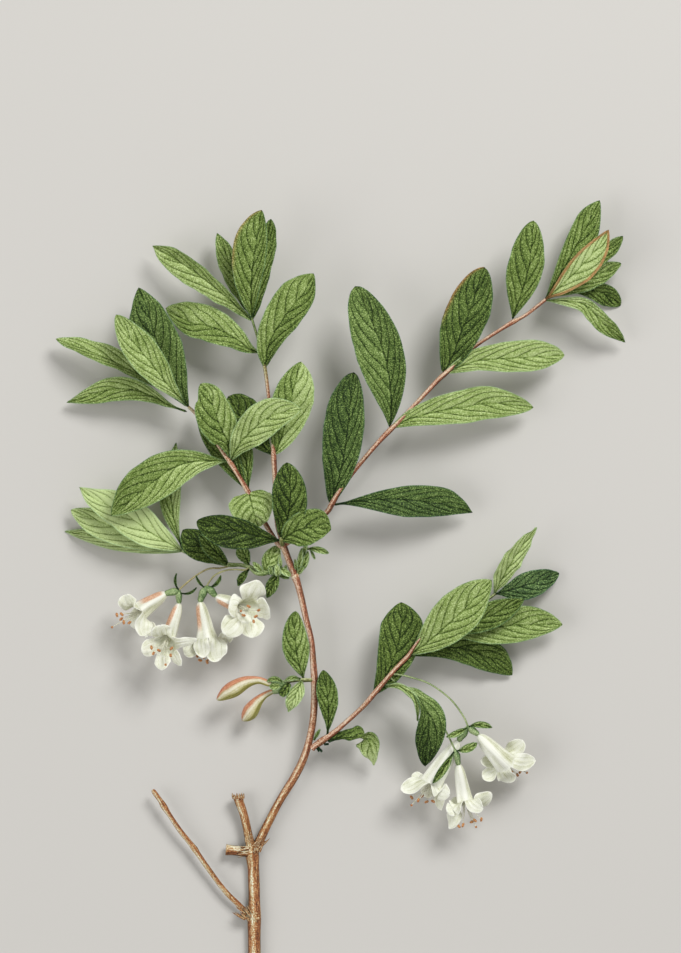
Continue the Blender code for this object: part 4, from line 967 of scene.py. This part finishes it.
def ovary_material():
    """Smooth green skin of stalks and ovaries, with a painted highlight on top and painted shade on its right
    side and in the creases; some stalks turn tan.
    """
    made, tree, dots, clouds = new_material("ovary_green")
    right, up = read(tree, STEM_FACING, "Right", "Up")
    # Painted light: up lightens the top, right darkens the right side, and ridge darkens the creases as
    # painted shade.
    tone = (dots - 0.5) * 0.45 + clouds * 0.2 + held(tree, "ridge") * 1.2 + 0.24 + up * 0.34 - right * 0.22
    green = ramp(tree, tone, (0.0, 30, 48, 22), (0.45, 96, 128, 70), (1.0, 184, 202, 146))
    tan = ramp(tree, tone, (0.0, 92, 62, 34), (0.45, 164, 138, 88), (1.0, 226, 208, 164))
    painted(tree, blend(tree, held(tree, "young"), green, tan), 0.5, dots, 0.12 * MM)
    return made


OVARY = ovary_material()


def green_stems(name, solid, stems, sides, bark_depth):
    """Smooth stalks and ovaries."""
    grown(name, stems, STEMS, OVARY, "stalk", solid, sides=sides, step=0.5 * MM, bark_depth=bark_depth,
          bark_grain=1.2, bark_stretch=300.0)


upper_ovary = [(-19.6, -36.6, 12.6, 0.5), (-21, -36.8, 12.9, 1.25), (-22.4, -36.9, 13, 1.5),
               (-24, -37, 13.2, 1.3), (-25, -37, 13.3, 1.0)]
lower_ovary = [(-19.4, -36.8, 12.2, 0.5), (-20.4, -37.8, 11.7, 1.3), (-21.6, -38.9, 11.2, 1.55),
               (-23, -39.5, 10.8, 1.3), (-24.2, -39.9, 10.6, 0.95)]
green_stems("bud_ovaries", "bud_spur", [stem(upper_ovary), stem(lower_ovary)], sides=24, bark_depth=0.14)


# Lower right leafy shoot: a branch low on the main stem with broad leaf pairs, one leaf that bends down
# over its own root, and two leaves at its base, one of them folded over.
branch_line = [(-10, -60.4, 8.2, 1.2), (-9.1, -59.6, 8.6, 1.1), (-6.6, -57.8, 8.8, 1.3),
               (-4.3, -56.2, 9, 1.1), (0, -52.9, 9.3, 0.9), (7.9, -45.7, 10.4, 0.85), (12, -41, 11.5, 0.98),
               (16.2, -36, 12.7, 0.85), (20.4, -31.2, 13.5, 0.78), (24.5, -27, 13.8, 0.82),
               (28.1, -22.6, 13, 0.62), (36, -18.4, 12.2, 0.6), (46.8, -11.2, 11.8, 0.55),
               (56, -4.6, 11.4, 0.5)]
leaf_foot = [(23.4, -28.2, 13.8, 0.8), (24.9, -26.4, 14.4, 0.7), (26.3, -24.2, 15.4, 0.58),
             (28.1, -21.6, 16.7, 0.42), (29.9, -19.4, 17.7, 0.12)]
branch_stems = [stem(branch_line, 1.0, [0.0] * 10 + [0.2, 0.5, 0.8, 0.9]), stem(leaf_foot, 1.0)]
twig("lower_right_twig", "lower_right_shoot", branch_stems, sides=16, bark_depth=0.16)
foliage("lower_right_leaves", "lower_right_shoot", [
    leaf((-4.6, -56.2, 9.2), (-6.1, -32, 13), (3.9, 3.8), (0.4, 0.44), bow=-1.1, arch=2, veins=5,
         widest=(0.68, 0.63), ends=(1.6, 0.68)),
    blade([(-4.7, -57.6, 9.2), (0, -56.5, 10.6), (4.3, -56.2, 11.6), (7.6, -56, 12.2), (9.7, -56.7, 12.2),
          (11, -59, 11.2), (11.5, -61.9, 9.6), (12.1, -64.4, 7.8), (12.2, -66.6, 6.2)], (5.4, 3.5),
          (0.5, 0.46), roll=[-50, -55, -60, -70, -140, -180, -180, -180, -180], widest=(0.54, 0.6),
          ends=(0.8, 1.0), veins=4, fade=1.1),
    leaf((-9.4, -57.4, 9.6), (-7.2, -53.4, 11), (0.8, 0.7), (0.95, 0.8), arch=0.4, veins=3),
    leaf((-5.8, -59, 9.6), (-4, -58.7, 10.6), (0.35, 0.35), (0.3, 0.3), arch=0.3, veins=3, cool=0.5),
    leaf((-7.9, -60, 9.2), (-6.4, -61.6, 10), (0.4, 0.4), (0.3, 0.3), arch=0.3, veins=3, cool=0.5),
    leaf((-8.7, -59.4, 9), (-7.5, -61.6, 9.4), (0.35, 0.4), (0.4, 0.3), arch=0.3, veins=3, cool=0.5),
    leaf((12, -41.2, 10.4), (22, -7.6, 12), (7.5, 8), (0.34, 0.3), bow=-3.4, arch=1, widest=(0.72, 0.74),
         ends=(0.85, 0.74), veins=6.4),
    leaf((24.8, -26.8, 13.8), (54.4, 0.5, 23), (8.6, 7.3), (0.73, 0.68), arch=2.5, veins=6.4,
         widest=(0.61, 0.56), ends=(1.04, 0.73),
         via=((31.3, -22), (36, -18), (40.3, -14), (45, -9.7), (49.7, -4.3))),
    leaf((55.6, -4.8, 11.4), (70.9, 19.4, 15), (5.4, 3.6), (0.9, 0.82), bow=1, arch=1.5, roll=35,
         widest=(0.38, 0.46), ends=(0.9, 0.85)),
    leaf((55.6, -4.8, 11.4), (79.2, 2.7, 3), (4.6, 5.2), (0.36, 0.3), bow=-0.4, arch=1, cool=0.3,
         widest=(0.51, 0.44), ends=(1.25, 0.67)),
    leaf((36, -18.4, 12.2), (66.4, -6.4, 14), (4.9, 4.9), (0.5, 0.42), bow=-1, arch=1),
    leaf((36, -18.4, 12), (80.3, -15.8, 8), (7, 6.5), (0.66, 0.62), bow=0.8, arch=0, veins=6.4,
         widest=(0.69, 0.5)),
    leaf((24.6, -27, 12), (62.3, -34.2, 2), (6.4, 5.5), (0.36, 0.32), bow=6.2, arch=0, widest=(0.72, 0.64),
         ends=(0.9, 0.8), veins=6.4),
    blade([(15.8, -37.8, 11.4), (19.4, -37.4, 14.4), (22.7, -38, 16.8), (25.9, -39.4, 17.8),
          (28.4, -42.1, 18), (30.6, -45.7, 17.6), (31.9, -49.7, 16.4), (31.7, -56.2, 13.4),
          (30.8, -63.7, 9.8), (30.7, -67, 8)], (6.1, 4.6), (0.48, 0.42),
          roll=[-40, -50, -60, -64, -55, -30, -10, 0, 5, 5], widest=(0.62, 0.7), ends=(2.5, 0.8), fade=-0.9,
          cool=0.1),
    blade([(16.2, -38.2, 12), (19, -37.6, 14.8), (21.6, -37.9, 17), (25.2, -40.1, 18.9),
          (27.2, -42.8, 19.2), (27.9, -46.1, 18.8), (27.9, -50.4, 17)], (1.3, 1.3), (0.8, 0.74), roll=-12,
          widest=0.5, ends=(0.6, 0.8), fold=0.1, wave=0.3, veins=3),
])


# Flower stalks: four thin nodding stalks, each with a pair of narrow bracts and one or two ovaries,
# the green eggs under the flowers. They grow from the leaf axils.
STALK_RADIUS = 0.33
ROOT_RADIUS = 0.45


def stalk_piece(number, node_name, tan, line, ovaries, bracts):
    """One stalk, tan or green, with its ovaries as one piece, and its bracts as another."""
    stems = [stem([(*p, STALK_RADIUS) for p in line], tan)]
    for start, middle, end, radius in ovaries:
        start, middle, end = Vector(start), Vector(middle), Vector(end)
        collar = end + (end - middle) * 0.12
        stems.append(stem([(*start, ROOT_RADIUS), (*start.lerp(middle, 0.6), radius * 0.86),
                           (*middle, radius), (*middle.lerp(end, 0.6), radius * 0.8),
                           (*end, radius * 0.72), (*collar, radius * 0.5)]))
    green_stems(f"stalk_{number}", node_name, stems, sides=20, bark_depth=0.1)
    blades = [leaf(base, tip, (width / 2, width / 2), tone, bow=bow, arch=1.0, veins=3, fold=0.5, wave=0.3)
              for base, tip, width, tone, bow in bracts]
    foliage(f"bracts_{number}", node_name, blades, slot="stalk", rows=24, columns=24, root_half_width=0.3,
            midrib_depth=0.1)


stalk_piece(1, "flower_stalk_left_1", 0.7,
            [(-40.4, 5.2, 12.2), (-43.2, 4.6, 13), (-46.8, 4.5, 13.8), (-50.4, 2.9, 14.6), (-54.6, -0.2, 15),
             (-58.2, -3.4, 15)],
            [((-57.8, -3, 15), (-60.2, -3.9, 15), (-62.6, -4.4, 14.8), 1.4),
             ((-58, -3, 14.8), (-58, -5.4, 14.4), (-57.9, -7.7, 14), 1.25)],
            [((-58, -3.2, 15.4), (-58.7, 2.9, 16.4), 1.1, (0.45, 0.4), 0.9),
             ((-57.4, -4.3, 15.2), (-51.5, -2.2, 15.8), 1.1, (0.5, 0.4), -1.1)])
stalk_piece(2, "flower_stalk_left_2", 0.5,
            [(-32.6, 5, 13.8), (-34.4, 4, 15.2), (-37.8, 4.2, 15.8), (-41.6, 3.7, 16.2), (-45.4, 1.8, 16.2),
             (-48.2, -2.2, 15.8)],
            [((-48.2, -1.8, 15.8), (-49.3, -4.4, 15.4), (-50.3, -7.1, 14.7), 1.5),
             ((-48.2, -1.8, 15.9), (-46.4, -3.4, 15.8), (-44.9, -5.2, 15.3), 1.45)],
            [((-48.6, -2.4, 16), (-51.8, 2.2, 17.4), 1.1, (0.45, 0.4), 0.5),
             ((-47.2, -2.4, 16), (-42.8, 2.2, 15.6), 1.5, (0.5, 0.4), -1.0)])
stalk_piece(3, "flower_stalk_right_1", 0.1,
            [(18.6, -33.4, 13), (22, -33.8, 13.2), (25.2, -34.6, 13.5), (31, -36.4, 14.6), (36, -39.4, 15.6),
             (40.6, -43.4, 16), (44.6, -49, 16), (46.1, -52.6, 15.8)],
            [((46, -52.2, 15.8), (47.6, -53.6, 16.2), (49.5, -55, 16.6), 1.35),
             ((46.1, -52.2, 15.8), (44.4, -55, 15), (42.8, -57.2, 14.1), 1.4)],
            [((46.2, -52.4, 16.4), (54.8, -52.7, 17.4), 2.5, (0.7, 0.5), 1.0),
             ((46, -52.6, 16.6), (38, -56, 19.4), 2.5, (0.72, 0.62), 0.3)])
stalk_piece(4, "flower_stalk_right_2", 0.1,
            [(18, -34.6, 12.6), (21, -37.4, 11.4), (23.6, -40.4, 10.2), (28, -44, 11), (34.2, -48.8, 10.6),
             (37.6, -53.2, 12.4), (39.9, -57.6, 17.4), (41.4, -60.8, 17.8)],
            [((41.2, -60.4, 17.8), (42, -62.8, 17.2), (42.5, -65.7, 16.3), 1.3)],
            [((42, -61, 18.2), (49.4, -58, 19), 3.1, (0.8, 0.66), -0.5),
             ((41, -61, 18), (33.2, -72.8, 17.4), 3.0, (0.6, 0.34), 0.4)])


# Open flowers: white funnel corollas of thin petal tissue that spread into five rounded lobes, each with
# five stamens and a style that hang out of the mouth. Each one is plugged onto its ovary.
def petal_material():
    """White petal tissue, with painted grey-green shade in its folds, its pleat furrows and its throat and a
    painted highlight on the stripe side of the tube, pale at the rims, with long veins and an orange stripe.
    """
    made, tree, dots, clouds = new_material("petal_white")
    across, along, flank = parts_of(tree, held(tree, "petal_place", True))
    inner, outer = along.step(-0.1, 0.1), along.step(0.1, -0.1)
    w = across.op("ABSOLUTE")
    stripes = noise(tree, joined(tree, across * 7.0, along * 1.2, flank * 2.0), 1.0, 3.0, 0.6)
    shade = (stripes - 0.5) * 0.9 + (clouds - 0.5) * 0.3 + (dots - 0.5) * 0.2 + 0.76
    # Painted shade: the lobes' crease lines, the pleat furrows of the tube and the throat are darkened.
    folds = (across.bell(0.05) * 0.36 + (w - 0.5).bell(0.06) * 0.22) * along.step(1.0, 0.6)
    furrow_shade = (across * 5.0).op("COSINE") * -0.5 + 0.5
    shade = shade - along.bell(0.25) * 0.08 - folds * inner - furrow_shade * outer * 0.3
    shade = shade + (w.step(0.78, 1.0) + along.step(0.86, 1.0)).op("MINIMUM", 1.0) * inner * 0.36
    # Painted highlight: the outside of the tube is lighter on the side that has the stripe.
    shade = shade + flank.step(-0.3, 0.3) * outer * 0.36
    colour = ramp(tree, shade, (0.0, 146, 150, 104), (0.3, 194, 196, 160), (0.62, 226, 228, 205),
                  (1.0, 247, 248, 236))
    warm = ramp(tree, dots, (0.0, 196, 132, 92), (1.0, 234, 190, 156))
    colour = blend(tree, held(tree, "flush") * 0.9, colour, warm)
    painted(tree, colour, 0.5, stripes * 0.5 + dots * 0.1, specular=0.25)
    return made


def grain_material(name, low, high):
    """Fine-grained skin of stamens, from its dark to its light colour."""
    made, tree, dots, _ = new_material(name)
    painted(tree, ramp(tree, dots, (0.0, *low), (1.0, *high)), 0.6, dots, 0.15 * MM)
    return made


PETAL = petal_material()
ANTHER = grain_material("pollen_orange", (160, 92, 44), (226, 166, 108))
FILAMENT = grain_material("filament_cream", (206, 206, 178), (244, 242, 226))

PETAL_THICKNESS = 0.28
LOBE_COLUMNS, LOBE_ROWS, TUBE_ROWS = 14, 16, 26
TUBE_ROOT_RADIUS = 0.85
PLEAT_DEPTH = 0.09
LOBE_TWIST = 0.22
TIP_FROM = 0.45
TIP_HALF_WIDTH = 0.12


def rounded(value, low, high):
    """0 below low, 1 above high, and a smooth rise between."""
    t = min(max((value - low) / (high - low), 0.0), 1.0)
    return t * t * (3 - 2 * t)


def bezier(pulls, t):
    """Place at t, from 0 to 1, on the curve that starts and ends at the outer pulls."""
    s = 1 - t
    return pulls[0] * s**3 + pulls[1] * (3 * s * s * t) + pulls[2] * (3 * s * t * t) + pulls[3] * t**3


class Sheet:
    """Points and faces of a corolla, in millimetres, before it gets its thickness."""

    def __init__(self):
        self.spots, self.faces, self.place, self.flush = [], [], [], []

    def point(self, spot, place, flush=0.0):
        """Number of a new point; place is (across, along, flank) and flush how orange, for the material."""
        self.spots.append(spot)
        self.place.append(place)
        self.flush.append(flush)
        return len(self.spots) - 1

    def strip(self, low, high):
        """Faces between two rows of point numbers."""
        for k in range(len(low) - 1):
            self.faces.append((low[k], low[k + 1], high[k + 1], high[k]))


def tube(sheet, axis, look, angles, middle_turn, throat_radius, flank, warm, flare):
    """Pleated funnel with a closed root; returns the row of points at its mouth, ending with its first."""
    closed_rows = []
    for r in range(TUBE_ROWS + 1):
        t = r / TUBE_ROWS
        ahead = (axis(min(t + 0.02, 1)) - axis(max(t - 0.02, 0))).normalized().lerp(look, t * t).normalized()
        across = UP.cross(ahead).normalized()
        above = ahead.cross(across)
        swelling = 0.6 * (1 - math.exp(-t / 0.11)) + 0.4 * t**1.7
        radius = TUBE_ROOT_RADIUS + (throat_radius / flare - TUBE_ROOT_RADIUS) * swelling
        radius *= 1 + (flare - 1) * rounded(t, 0.72, 1.0)
        row = []
        for turn in angles:
            pleat = 1 + PLEAT_DEPTH * math.cos(5 * (turn - middle_turn)) * rounded(t, 0.1, 0.7)
            out = across * math.cos(turn) + above * math.sin(turn)
            lean = out.dot(flank)
            stripe = (rounded(lean, 0.42 + 0.3 * t, 0.68 + 0.25 * t) * rounded(t, 0.0, 0.12)
                      * rounded(1 - t, flare / 2 - 0.5, flare / 2 - 0.12))
            place = (turn - middle_turn, t - 1.2, lean - 0.1)
            row.append(sheet.point(axis(t) + out * radius * pleat, place, warm * stripe))
        closed_rows.append(row + row[:1])
    for low, high in zip(closed_rows, closed_rows[1:]):
        sheet.strip(low, high)
    root = sheet.point(axis(0) - look * 0.2, (0.0, -1.2, 0.0))
    sheet.faces += [(root, b, a) for a, b in zip(closed_rows[0], closed_rows[0][1:])]
    return closed_rows[-1]


def lobe(sheet, order, first_row, span, shape, throat, throat_radius, look, side, over):
    """One of the five lobes, from its row of the mouth to its tip; span is its share of the mouth."""
    low, high = span
    x, y, z, width, point, face = shape
    tip = Vector((x, y, z))
    middle = (low + high) / 2
    out = side * math.cos(middle) + over * math.sin(middle)
    tangent = (over * math.cos(middle) - side * math.sin(middle)).normalized()
    start = throat + out * throat_radius
    reach = (tip - start).length
    leave = start + (look * 0.75 + out * 0.65).normalized() * reach * 0.34
    arrive = tip - ((tip - start).normalized() + out * 0.5 - look * 0.35).normalized() * reach * 0.34
    chord = throat_radius * math.sin(min((high - low) / 2, 1.4))
    last_row = first_row
    for r in range(1, LOBE_ROWS + 1):
        along = r / LOBE_ROWS
        rest = 1 - along
        onward = (leave - start) * rest * rest + (arrive - leave) * (2 * rest * along)
        onward += (tip - arrive) * along * along
        onward.normalize()
        across = (tangent - onward * tangent.dot(onward)).normalized()
        level = UP.cross(onward)
        if level.length > 0.2:
            level = level.normalized() * (1 if level.dot(across) >= 0 else -1)
            across = across.lerp(level, face * rounded(along, 0.0, 0.6))
            across = (across - onward * across.dot(onward)).normalized()
        across.rotate(Quaternion(onward, LOBE_TWIST * rounded(along, 0.0, 0.3)))
        normal = onward.cross(across).normalized()
        half = chord * 1.12 + (width / 2 - chord * 1.12) * rounded(along, 0.0, 0.4)
        if along > TIP_FROM:
            past = (along - TIP_FROM) / (1 - TIP_FROM)
            half *= (1 - past**2.4) ** 0.6 * (1 - point) + (1 - past) ** 0.75 * point
        half = max(half, TIP_HALF_WIDTH)
        row = []
        for k in range(LOBE_COLUMNS + 1):
            off = 2 * k / LOBE_COLUMNS - 1
            turn = low + (high - low) * k / LOBE_COLUMNS
            ring = throat + (side * math.cos(turn) + over * math.sin(turn)) * throat_radius
            arc = ring - (start + tangent * chord * off)
            crease = math.exp(-(off / 0.15) ** 2) * 0.42 + math.exp(-((abs(off) - 0.5) / 0.14) ** 2) * 0.16
            crease *= -min(along * 3, 1) * (1 - along)
            wave = math.sin(4.5 * along * math.pi + off * 3 + order)
            ruffle = 0.35 * wave * off * off * along * (1 - 0.5 * along)
            cup = -0.16 * half * off * off
            spot = bezier((start, leave, arrive, tip), along) + across * (half * off) + arc * rest**3
            row.append(sheet.point(spot + normal * (crease + ruffle + cup), (off, along, 0.3)))
        sheet.strip(last_row, row)
        last_row = row


def corolla(name, base, throat, heading, rise, throat_radius, lobes, flank, warm, flare):
    """Funnel with five lobes as one closed thin shell; returns it, its axis and the way that it looks.

    heading and rise say which way its mouth looks, in degrees. A lobe is (tip x, y, z, width, point, face):
    point is 0 for a round tip and 1 for a pointed one, face is how far it turns flat to the sky.
    flank is the side of the tube that has the stripe and a painted highlight, warm how orange that stripe is,
    and flare how much the tube opens at its very end."""
    base, throat, flank = Vector(base), Vector(throat), Vector(flank).normalized()
    heading, rise = math.radians(heading), math.radians(rise)
    look = Vector((math.cos(heading) * math.cos(rise), math.sin(heading) * math.cos(rise), math.sin(rise)))
    side = UP.cross(look).normalized()
    over = look.cross(side)
    pulls = (base, base.lerp(throat, 0.4), throat - look * ((throat - base).length * 0.35), throat)

    def axis(t):
        return bezier(pulls, t)

    def turn_of(shape):
        out = Vector(shape[:3]) - throat
        return math.atan2(out.dot(over), out.dot(side)) % (2 * math.pi)

    lobes = sorted(lobes, key=turn_of)
    turns = [turn_of(shape) for shape in lobes]
    ends = [turns[i] + (turns[(i + 1) % 5] - turns[i]) % (2 * math.pi) / 2 for i in range(5)]
    spans = [(ends[i - 1], ends[i - 1] + (ends[i] - ends[i - 1]) % (2 * math.pi)) for i in range(5)]
    angles = [low + (high - low) * k / LOBE_COLUMNS for low, high in spans for k in range(LOBE_COLUMNS)]
    sheet = Sheet()
    mouth = tube(sheet, axis, look, angles, turns[0], throat_radius, flank, warm, flare)
    for i, shape in enumerate(lobes):
        first_row = mouth[i * LOBE_COLUMNS:(i + 1) * LOBE_COLUMNS + 1]
        lobe(sheet, i, first_row, spans[i], shape, throat, throat_radius, look, side, over)
    mesh = bpy.data.meshes.new(name + "_sheet")
    mesh.from_pydata([p * MM for p in sheet.spots], [], sheet.faces)
    written(mesh, "petal_place", sheet.place)
    written(mesh, "flush", sheet.flush)
    mesh.materials.append(PETAL)
    mesh.shade_smooth()
    piece = linked(name, mesh)
    wall = piece.modifiers.new("petal_wall", "SOLIDIFY")
    wall.thickness = PETAL_THICKNESS * MM
    wall.offset = -1
    finer = piece.modifiers.new("petal_smooth", "SUBSURF")
    finer.levels = finer.render_levels = 1
    plain(piece)
    return piece, axis, look


THREAD_RADIUS = 0.16
STYLE_RADIUS = 0.18
ANTHER_HALF_LENGTH = 0.85
# Turns in radians from one stamen of a flower to the next: of its foot in the tube, and of its anther.
FOOT_TURN, ANTHER_TURN = 1.26, 1.9


def flower(number, base, throat, heading, rise, throat_radius, lobes, anthers, style, flank, warm=0.0,
           flare=1.0):
    """One whole flower; anthers and style are the places of their tips, the rest is as for corolla."""
    solid = f"flower_{number}"
    piece, axis, look = corolla(f"corolla_{number}", base, throat, heading, rise, throat_radius, lobes, flank,
                                warm, flare)
    placed(piece, "petal", solid)
    threads, grains = [], []
    root, mouth = axis(0.55), axis(0.98)
    for k, place in enumerate(anthers):
        end = Vector(place)
        bend = mouth.lerp(end, 0.3) + look * 0.5
        foot_turn, tilt = k * FOOT_TURN, k * ANTHER_TURN
        foot = root + Vector((math.cos(foot_turn), math.sin(foot_turn), 0)) * 0.5
        threads.append(stem([(*foot, THREAD_RADIUS), (*bend, THREAD_RADIUS), (*mouth.lerp(end, 0.7), 0.15),
                             (*end, 0.13)]))
        onward = (end - mouth).normalized()
        way = onward.cross(UP).normalized() * math.cos(tilt) + onward * math.sin(tilt) + UP * 0.2
        way = way.normalized() * ANTHER_HALF_LENGTH
        grains.append(stem([(*(end - way), 0.1), (*(end - way * 0.7), 0.4), (*end, 0.46),
                            (*(end + way * 0.7), 0.4), (*(end + way), 0.1)]))
    end = Vector(style)
    threads.append(stem([(*root, STYLE_RADIUS), (*mouth, STYLE_RADIUS), (*mouth.lerp(end, 0.6), 0.17),
                         (*end, 0.16)]))
    grains.append(stem([(*(end - look * 0.4), 0.15), (*end, 0.48), (*(end + look * 0.35), 0.4),
                        (*(end + look * 0.5), 0.1)]))
    grown(f"filaments_{number}", threads, STEMS, FILAMENT, "petal", solid, sides=8, step=0.6 * MM,
          bark_depth=0.1)
    grown(f"anthers_{number}", grains, STEMS, ANTHER, "petal", solid, sides=12, step=0.25 * MM,
          bark_depth=0.25)


flower(1, (-62.6, -4.5, 14.7), (-72, -10.8, 11.8), 217, 12, 3.4,
       [(-79.4, -6.1, 13, 5.8, 0, 1), (-76.7, -4.7, 17.5, 4.2, 0.1, 0.6), (-69.6, -20.2, 15.5, 6.6, 0.3, 0.9),
        (-66.6, -19.4, 10.5, 6.4, 0.2, 0.8), (-75.2, -16.6, 4.2, 6, 0, 0)],
       [(-80.3, -12.2, 14), (-78.8, -13.7, 12), (-78.5, -11.9, 16), (-77.8, -14.8, 15), (-75.8, -15, 12.4)],
       (-82, -16.6, 13.6), (-0.54, 0.77, 0.34), 1.0)
flower(2, (-57.8, -8.1, 13.7), (-63, -23.2, 16), 238, 64, 4.2,
       [(-64.6, -15.7, 20.6, 7.6, 0.05, 0.6), (-71.4, -25, 18, 6.4, 0.2, 0), (-63.9, -32.2, 17.5, 6, 0.7, 0),
        (-56.9, -30.4, 17, 4.8, 0.8, 0), (-51.4, -20.9, 19, 4, 0.4, 0)],
       [(-67.7, -23.8, 20.4), (-67, -25.9, 20), (-65, -24.8, 21.4), (-60.5, -24.1, 20.6),
        (-60.8, -26.6, 20.2)],
       (-62.6, -29.9, 20.6), (-0.93, 0.1, 0.35), 1.0, 1.4)
flower(3, (-50.3, -7.4, 14.6), (-48.1, -20.6, 12), 274, 4, 3.8,
       [(-38.5, -19.4, 13, 5, 0.1, 1), (-43.4, -28.6, 14.2, 8.6, 0, 1), (-49.8, -27.6, 14.8, 6.2, 0.2, 0.9),
        (-56.2, -26.6, 13, 7, 0.4, 0.9), (-46.8, -25.4, 4, 6.4, 0, 0)],
       [(-50.4, -28.6, 10.6), (-47.9, -29.2, 9.6), (-46, -27.6, 9), (-51.6, -27, 8.6), (-49, -27.4, 8.4)],
       (-47.6, -28.4, 8), (-0.93, 0.0, 0.35), 1.0, 1.2)
flower(4, (-44.7, -5.6, 15.2), (-33.3, -10.4, 16.3), -25, 58, 4.6,
       [(-29.5, 0.4, 19.5, 11.6, 0.75, 0.5), (-39.8, -8.4, 20.6, 8.6, 0, 0.4),
        (-25.2, -9.8, 18.4, 8.6, 0.1, 0.5), (-31.5, -20.5, 17.6, 9.4, 0.6, 0.5),
        (-42, -18.8, 19.4, 9, 0.2, 0.4)],
       [(-32.8, -9, 21), (-29.2, -10.4, 21), (-34.6, -12.2, 21), (-30.2, -12.6, 21), (-31, -14.4, 21)],
       (-35.6, -10.6, 21.6), (-0.3, -0.9, 0.35), 1.0, 1.45)
flower(5, (49.8, -55.4, 16.7), (59, -65.2, 13.2), -45, -40, 3.9,
       [(65.8, -57.2, 12.4, 6.4, 0, 0.8), (70.4, -64.4, 10.4, 6.6, 0.25, 0.8),
        (60.8, -72.8, 10.2, 6.8, 0, 0.8), (51.2, -70.8, 12, 5.8, 0, 0.8), (50.6, -64.6, 13.8, 4.8, 0, 0.8)],
       [(65, -68.9, 7.4), (66, -68, 6.6), (62, -69, 6.6), (63, -66, 6.4), (64, -70, 7)],
       (67.4, -69.2, 7), (-0.6, -0.5, 0.6))
flower(6, (42.5, -57.5, 13.9), (32.8, -73, 11.4), 240, 2, 4.0,
       [(21.8, -74.5, 13.5, 6, 0.05, 1), (26.6, -69.2, 6.6, 4.2, 0, 0.9), (39.4, -76.8, 15, 6.8, 0.15, 1),
        (36.7, -82.8, 8.4, 4.6, 0.9, 0.9), (30.2, -77.8, 4, 5.4, 0, 0)],
       [(25.8, -78, 11), (28.2, -79, 12), (31.2, -79.6, 10), (33.5, -79.4, 11), (29.6, -77.6, 8)],
       (25.8, -80.8, 10), (-0.2, 0.1, 1.0))
flower(7, (42.6, -66, 16.1), (45, -79.6, 12.8), 283, 14, 2.9,
       [(54.6, -76.4, 13.6, 6.2, 0.35, 1), (51.4, -81.6, 17, 5.8, 0.1, 1), (38.2, -82.6, 15.6, 6.4, 0.2, 1),
        (39.2, -89.4, 11, 5.8, 0.9, 0.9), (40.4, -78.4, 8, 4.6, 0, 0.7)],
       [(47.5, -86.8, 11), (48.6, -86.2, 12.6), (50.9, -85.9, 11.6), (42.8, -88.4, 11), (44.3, -87.9, 12)],
       (49, -88.6, 10.6), (-0.6, 0.0, 0.8))


# Closed buds: two clubs of folded petal tissue, rusty on one side, cream along the middle and olive on
# the other. Their thin necks stand on the ovaries of the bud spur.
def bud_material():
    """Folded petals of a bud: rusty above, cream along the middle, olive below, with a dark seam."""
    made, tree, dots, clouds = new_material("bud_cream")
    face = (held(tree, "turn") * (2 * math.pi)).op("COSINE") + (clouds - 0.5) * 0.2
    fibre, = read(tree, FIBRE, "Fibre", Size=3.5, Stretch=70.0, Detail=3.0, Roughness=0.5)
    cream = ramp(tree, fibre + (dots - 0.5) * 0.2, (0.3, 196, 188, 128), (0.6, 236, 232, 208))
    warm = ramp(tree, fibre + (dots - 0.5) * 0.4, (0.2, 168, 78, 42), (0.8, 230, 168, 132))
    olive = ramp(tree, fibre + (dots - 0.5) * 0.4, (0.2, 120, 120, 46), (0.8, 196, 186, 96))
    colour = blend(tree, face.step(0.14, 0.56) + (fibre - 0.5) * 0.5, cream, warm)
    colour = blend(tree, face.step(-0.3, -0.62) + (fibre - 0.5) * 0.4, colour, olive)
    seam = ((face + 0.66).bell(0.07) + (face - 0.22).bell(0.05) * 0.4) * fibre
    painted(tree, blend(tree, seam, colour, rgb(112, 104, 44)), 0.5, fibre + dots * 0.3)
    return made


BUD = bud_material()
bud_shapes = (
    ("bud_1", [
        (-25, -36.9, 13.4, 1.0), (-25.9, -36.8, 13.5, 1.15), (-28.8, -35.8, 13.6, 1.25),
        (-31.6, -35.9, 13.6, 1.7), (-34.6, -36.8, 13.6, 2.4), (-38, -38.7, 13.3, 2.95),
        (-40.6, -40.2, 12.8, 2.6), (-42.6, -41.6, 12.4, 1.7), (-43.9, -42.5, 12.1, 0.8),
        (-44.4, -42.8, 12, 0.1)]),
    ("bud_2", [
        (-24.2, -39.8, 10.6, 0.85), (-25.2, -40.2, 10.4, 1.0), (-27.4, -41.4, 10, 1.25),
        (-29.6, -43.4, 9.3, 1.9), (-31.4, -45.8, 8.6, 2.6), (-32.6, -47.6, 8.1, 2.75),
        (-33.8, -49, 7.8, 2.1), (-34.7, -50, 7.5, 1.1), (-35.2, -50.6, 7.4, 0.1)]),
)
for name, points in bud_shapes:
    grown(name + "_petals", [stem(points)], STEMS, BUD, "bud", name, sides=48, step=0.4 * MM, bark_depth=0.12,
          bark_grain=1.8, bark_stretch=30.0)
